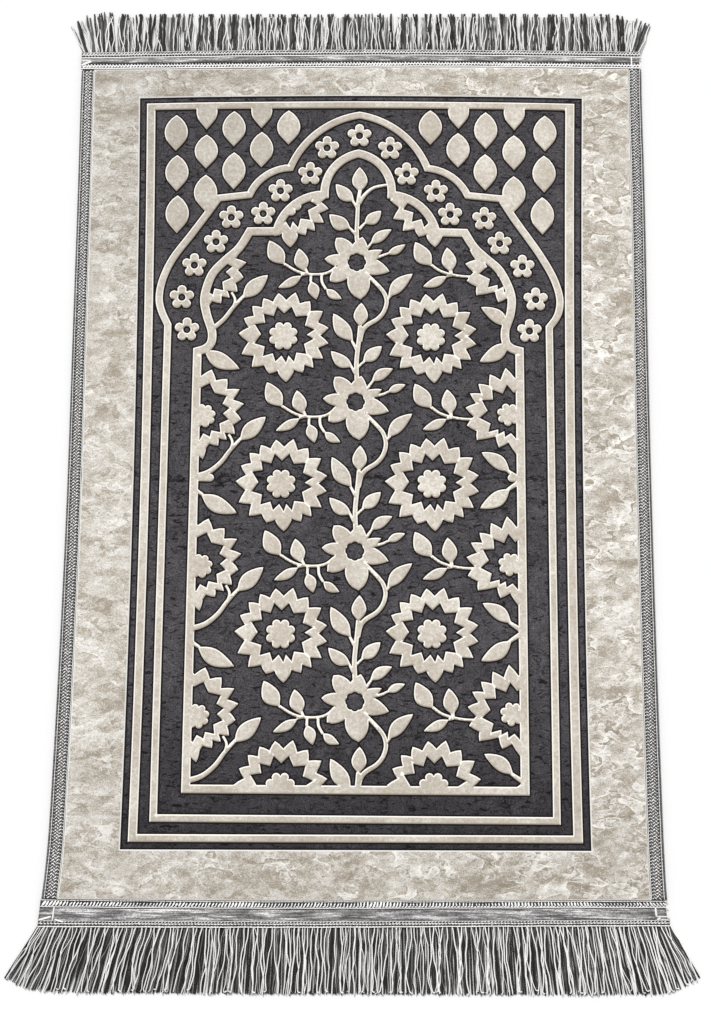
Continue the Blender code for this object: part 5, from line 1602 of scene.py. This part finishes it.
class RUG_OT_add_fringes(bpy.types.Operator):
    """Make the two fringes"""

    bl_idname = "rug.add_fringes"
    bl_label = "Fringes"

    def execute(self, context):
        for end in FRINGES:
            make_fringe(end, context.scene.rug_trim)
        return {"FINISHED"}


class RUG_OT_lay_sheet(bpy.types.Operator):
    bl_idname = "rug.lay_sheet"
    bl_label = "Lay the sheet"

    def execute(self, context):
        return {"FINISHED"}


CAMERA = {"x": -4.5, "y": -273.8, "height": 1642.5 + PILE_TOP, "tilt": 7.629, "roll": 0.424}  # mm, degrees
FLOOR_REACH = 4.0  # metres from the middle to each side
FLOOR_DROP = 0.0002  # metres, so that nothing lies exactly in the floor
SUN_ANGLE = 14  # degrees, how broad the light is
SUN_HEIGHT = 0.95  # of the sun's direction, whose part across the rug is LIGHT_WAY


class RUG_OT_add_stage(bpy.types.Operator):
    """Make the floor, the light and the camera"""

    bl_idname = "rug.add_stage"
    bl_label = "Stage"

    def execute(self, context):
        stage = context.scene.rug_stage
        scene = context.scene
        bm = bmesh.new()
        bmesh.ops.create_grid(bm, x_segments=1, y_segments=1, size=FLOOR_REACH)
        bmesh.ops.translate(bm, verts=bm.verts, vec=(0, 0, -FLOOR_DROP))
        mesh = bpy.data.meshes.new("floor")
        bm.to_mesh(mesh)
        bm.free()
        mesh.materials.append(pale_floor(stage))
        floor = add_object("floor", mesh)

        world = bpy.data.worlds.new("studio")
        world.use_nodes = True
        sky = world.node_tree.nodes["Background"]
        sky.inputs["Color"].default_value = (1, 1, 1, 1)
        sky.inputs["Strength"].default_value = stage.fill
        scene.world = world

        key = bpy.data.lights.new("key", "SUN")
        key.energy = stage.key
        key.angle = radians(SUN_ANGLE)
        lamp = add_object("key", key)
        lamp.rotation_euler = Vector((*LIGHT_WAY, SUN_HEIGHT)).to_track_quat("Z", "Y").to_euler()

        camera = bpy.data.cameras.new("camera")
        camera.lens = stage.lens
        camera.sensor_width = 36.0
        camera.clip_start = 0.05
        holder = add_object("camera", camera)
        tilt, roll = radians(CAMERA["tilt"]), radians(CAMERA["roll"])
        right = Vector((1, 0, 0))
        up = Vector((0, cos(tilt), sin(tilt)))
        ahead = Vector((0, sin(tilt), -cos(tilt)))
        turned_right = cos(roll) * right + sin(roll) * up
        turned_up = cos(roll) * up - sin(roll) * right
        place = Vector((CAMERA["x"], CAMERA["y"], CAMERA["height"])) * MM + rug_origin()
        turn = Matrix((turned_right, turned_up, -ahead)).transposed().to_4x4()
        holder.matrix_world = Matrix.Translation(place) @ turn
        scene.camera = holder
        scene.view_settings.view_transform = "Standard"
        return {"FINISHED"}


class RUG_PT_panel(bpy.types.Panel):
    """The rug's pieces and their settings."""

    bl_idname = "RUG_PT_panel"
    bl_label = "Prayer rug"
    bl_space_type = "VIEW_3D"
    bl_region_type = "UI"
    bl_category = "Rug"

    def draw(self, context):
        for operator in OPERATORS:
            self.layout.operator(operator.bl_idname)
        for group in (context.scene.rug_pile, context.scene.rug_trim, context.scene.rug_stage):
            box = self.layout.box()
            for name in group.__annotations__:
                box.prop(group, name)


GROUPS = {"rug_pile": RUG_PG_pile, "rug_trim": RUG_PG_trim, "rug_stage": RUG_PG_stage}
OPERATORS = [RUG_OT_add_cloth, RUG_OT_add_edgings, RUG_OT_add_tapes, RUG_OT_add_fringes, RUG_OT_add_stage,
             RUG_OT_lay_sheet]
CLASSES = [*GROUPS.values(), *OPERATORS, RUG_PT_panel]


def register():
    for each in CLASSES:
        bpy.utils.register_class(each)
    for name, group in GROUPS.items():
        setattr(bpy.types.Scene, name, PointerProperty(type=group))


def unregister():
    for name in GROUPS:
        delattr(bpy.types.Scene, name)
    for each in reversed(CLASSES):
        bpy.utils.unregister_class(each)


def main():
    register()
    bpy.ops.rug.add_cloth()
    bpy.ops.rug.add_edgings()
    bpy.ops.rug.add_tapes()
    bpy.ops.rug.add_fringes()
    bpy.ops.rug.add_stage()
    bpy.ops.rug.lay_sheet()


if __name__ == "__main__":
    main()
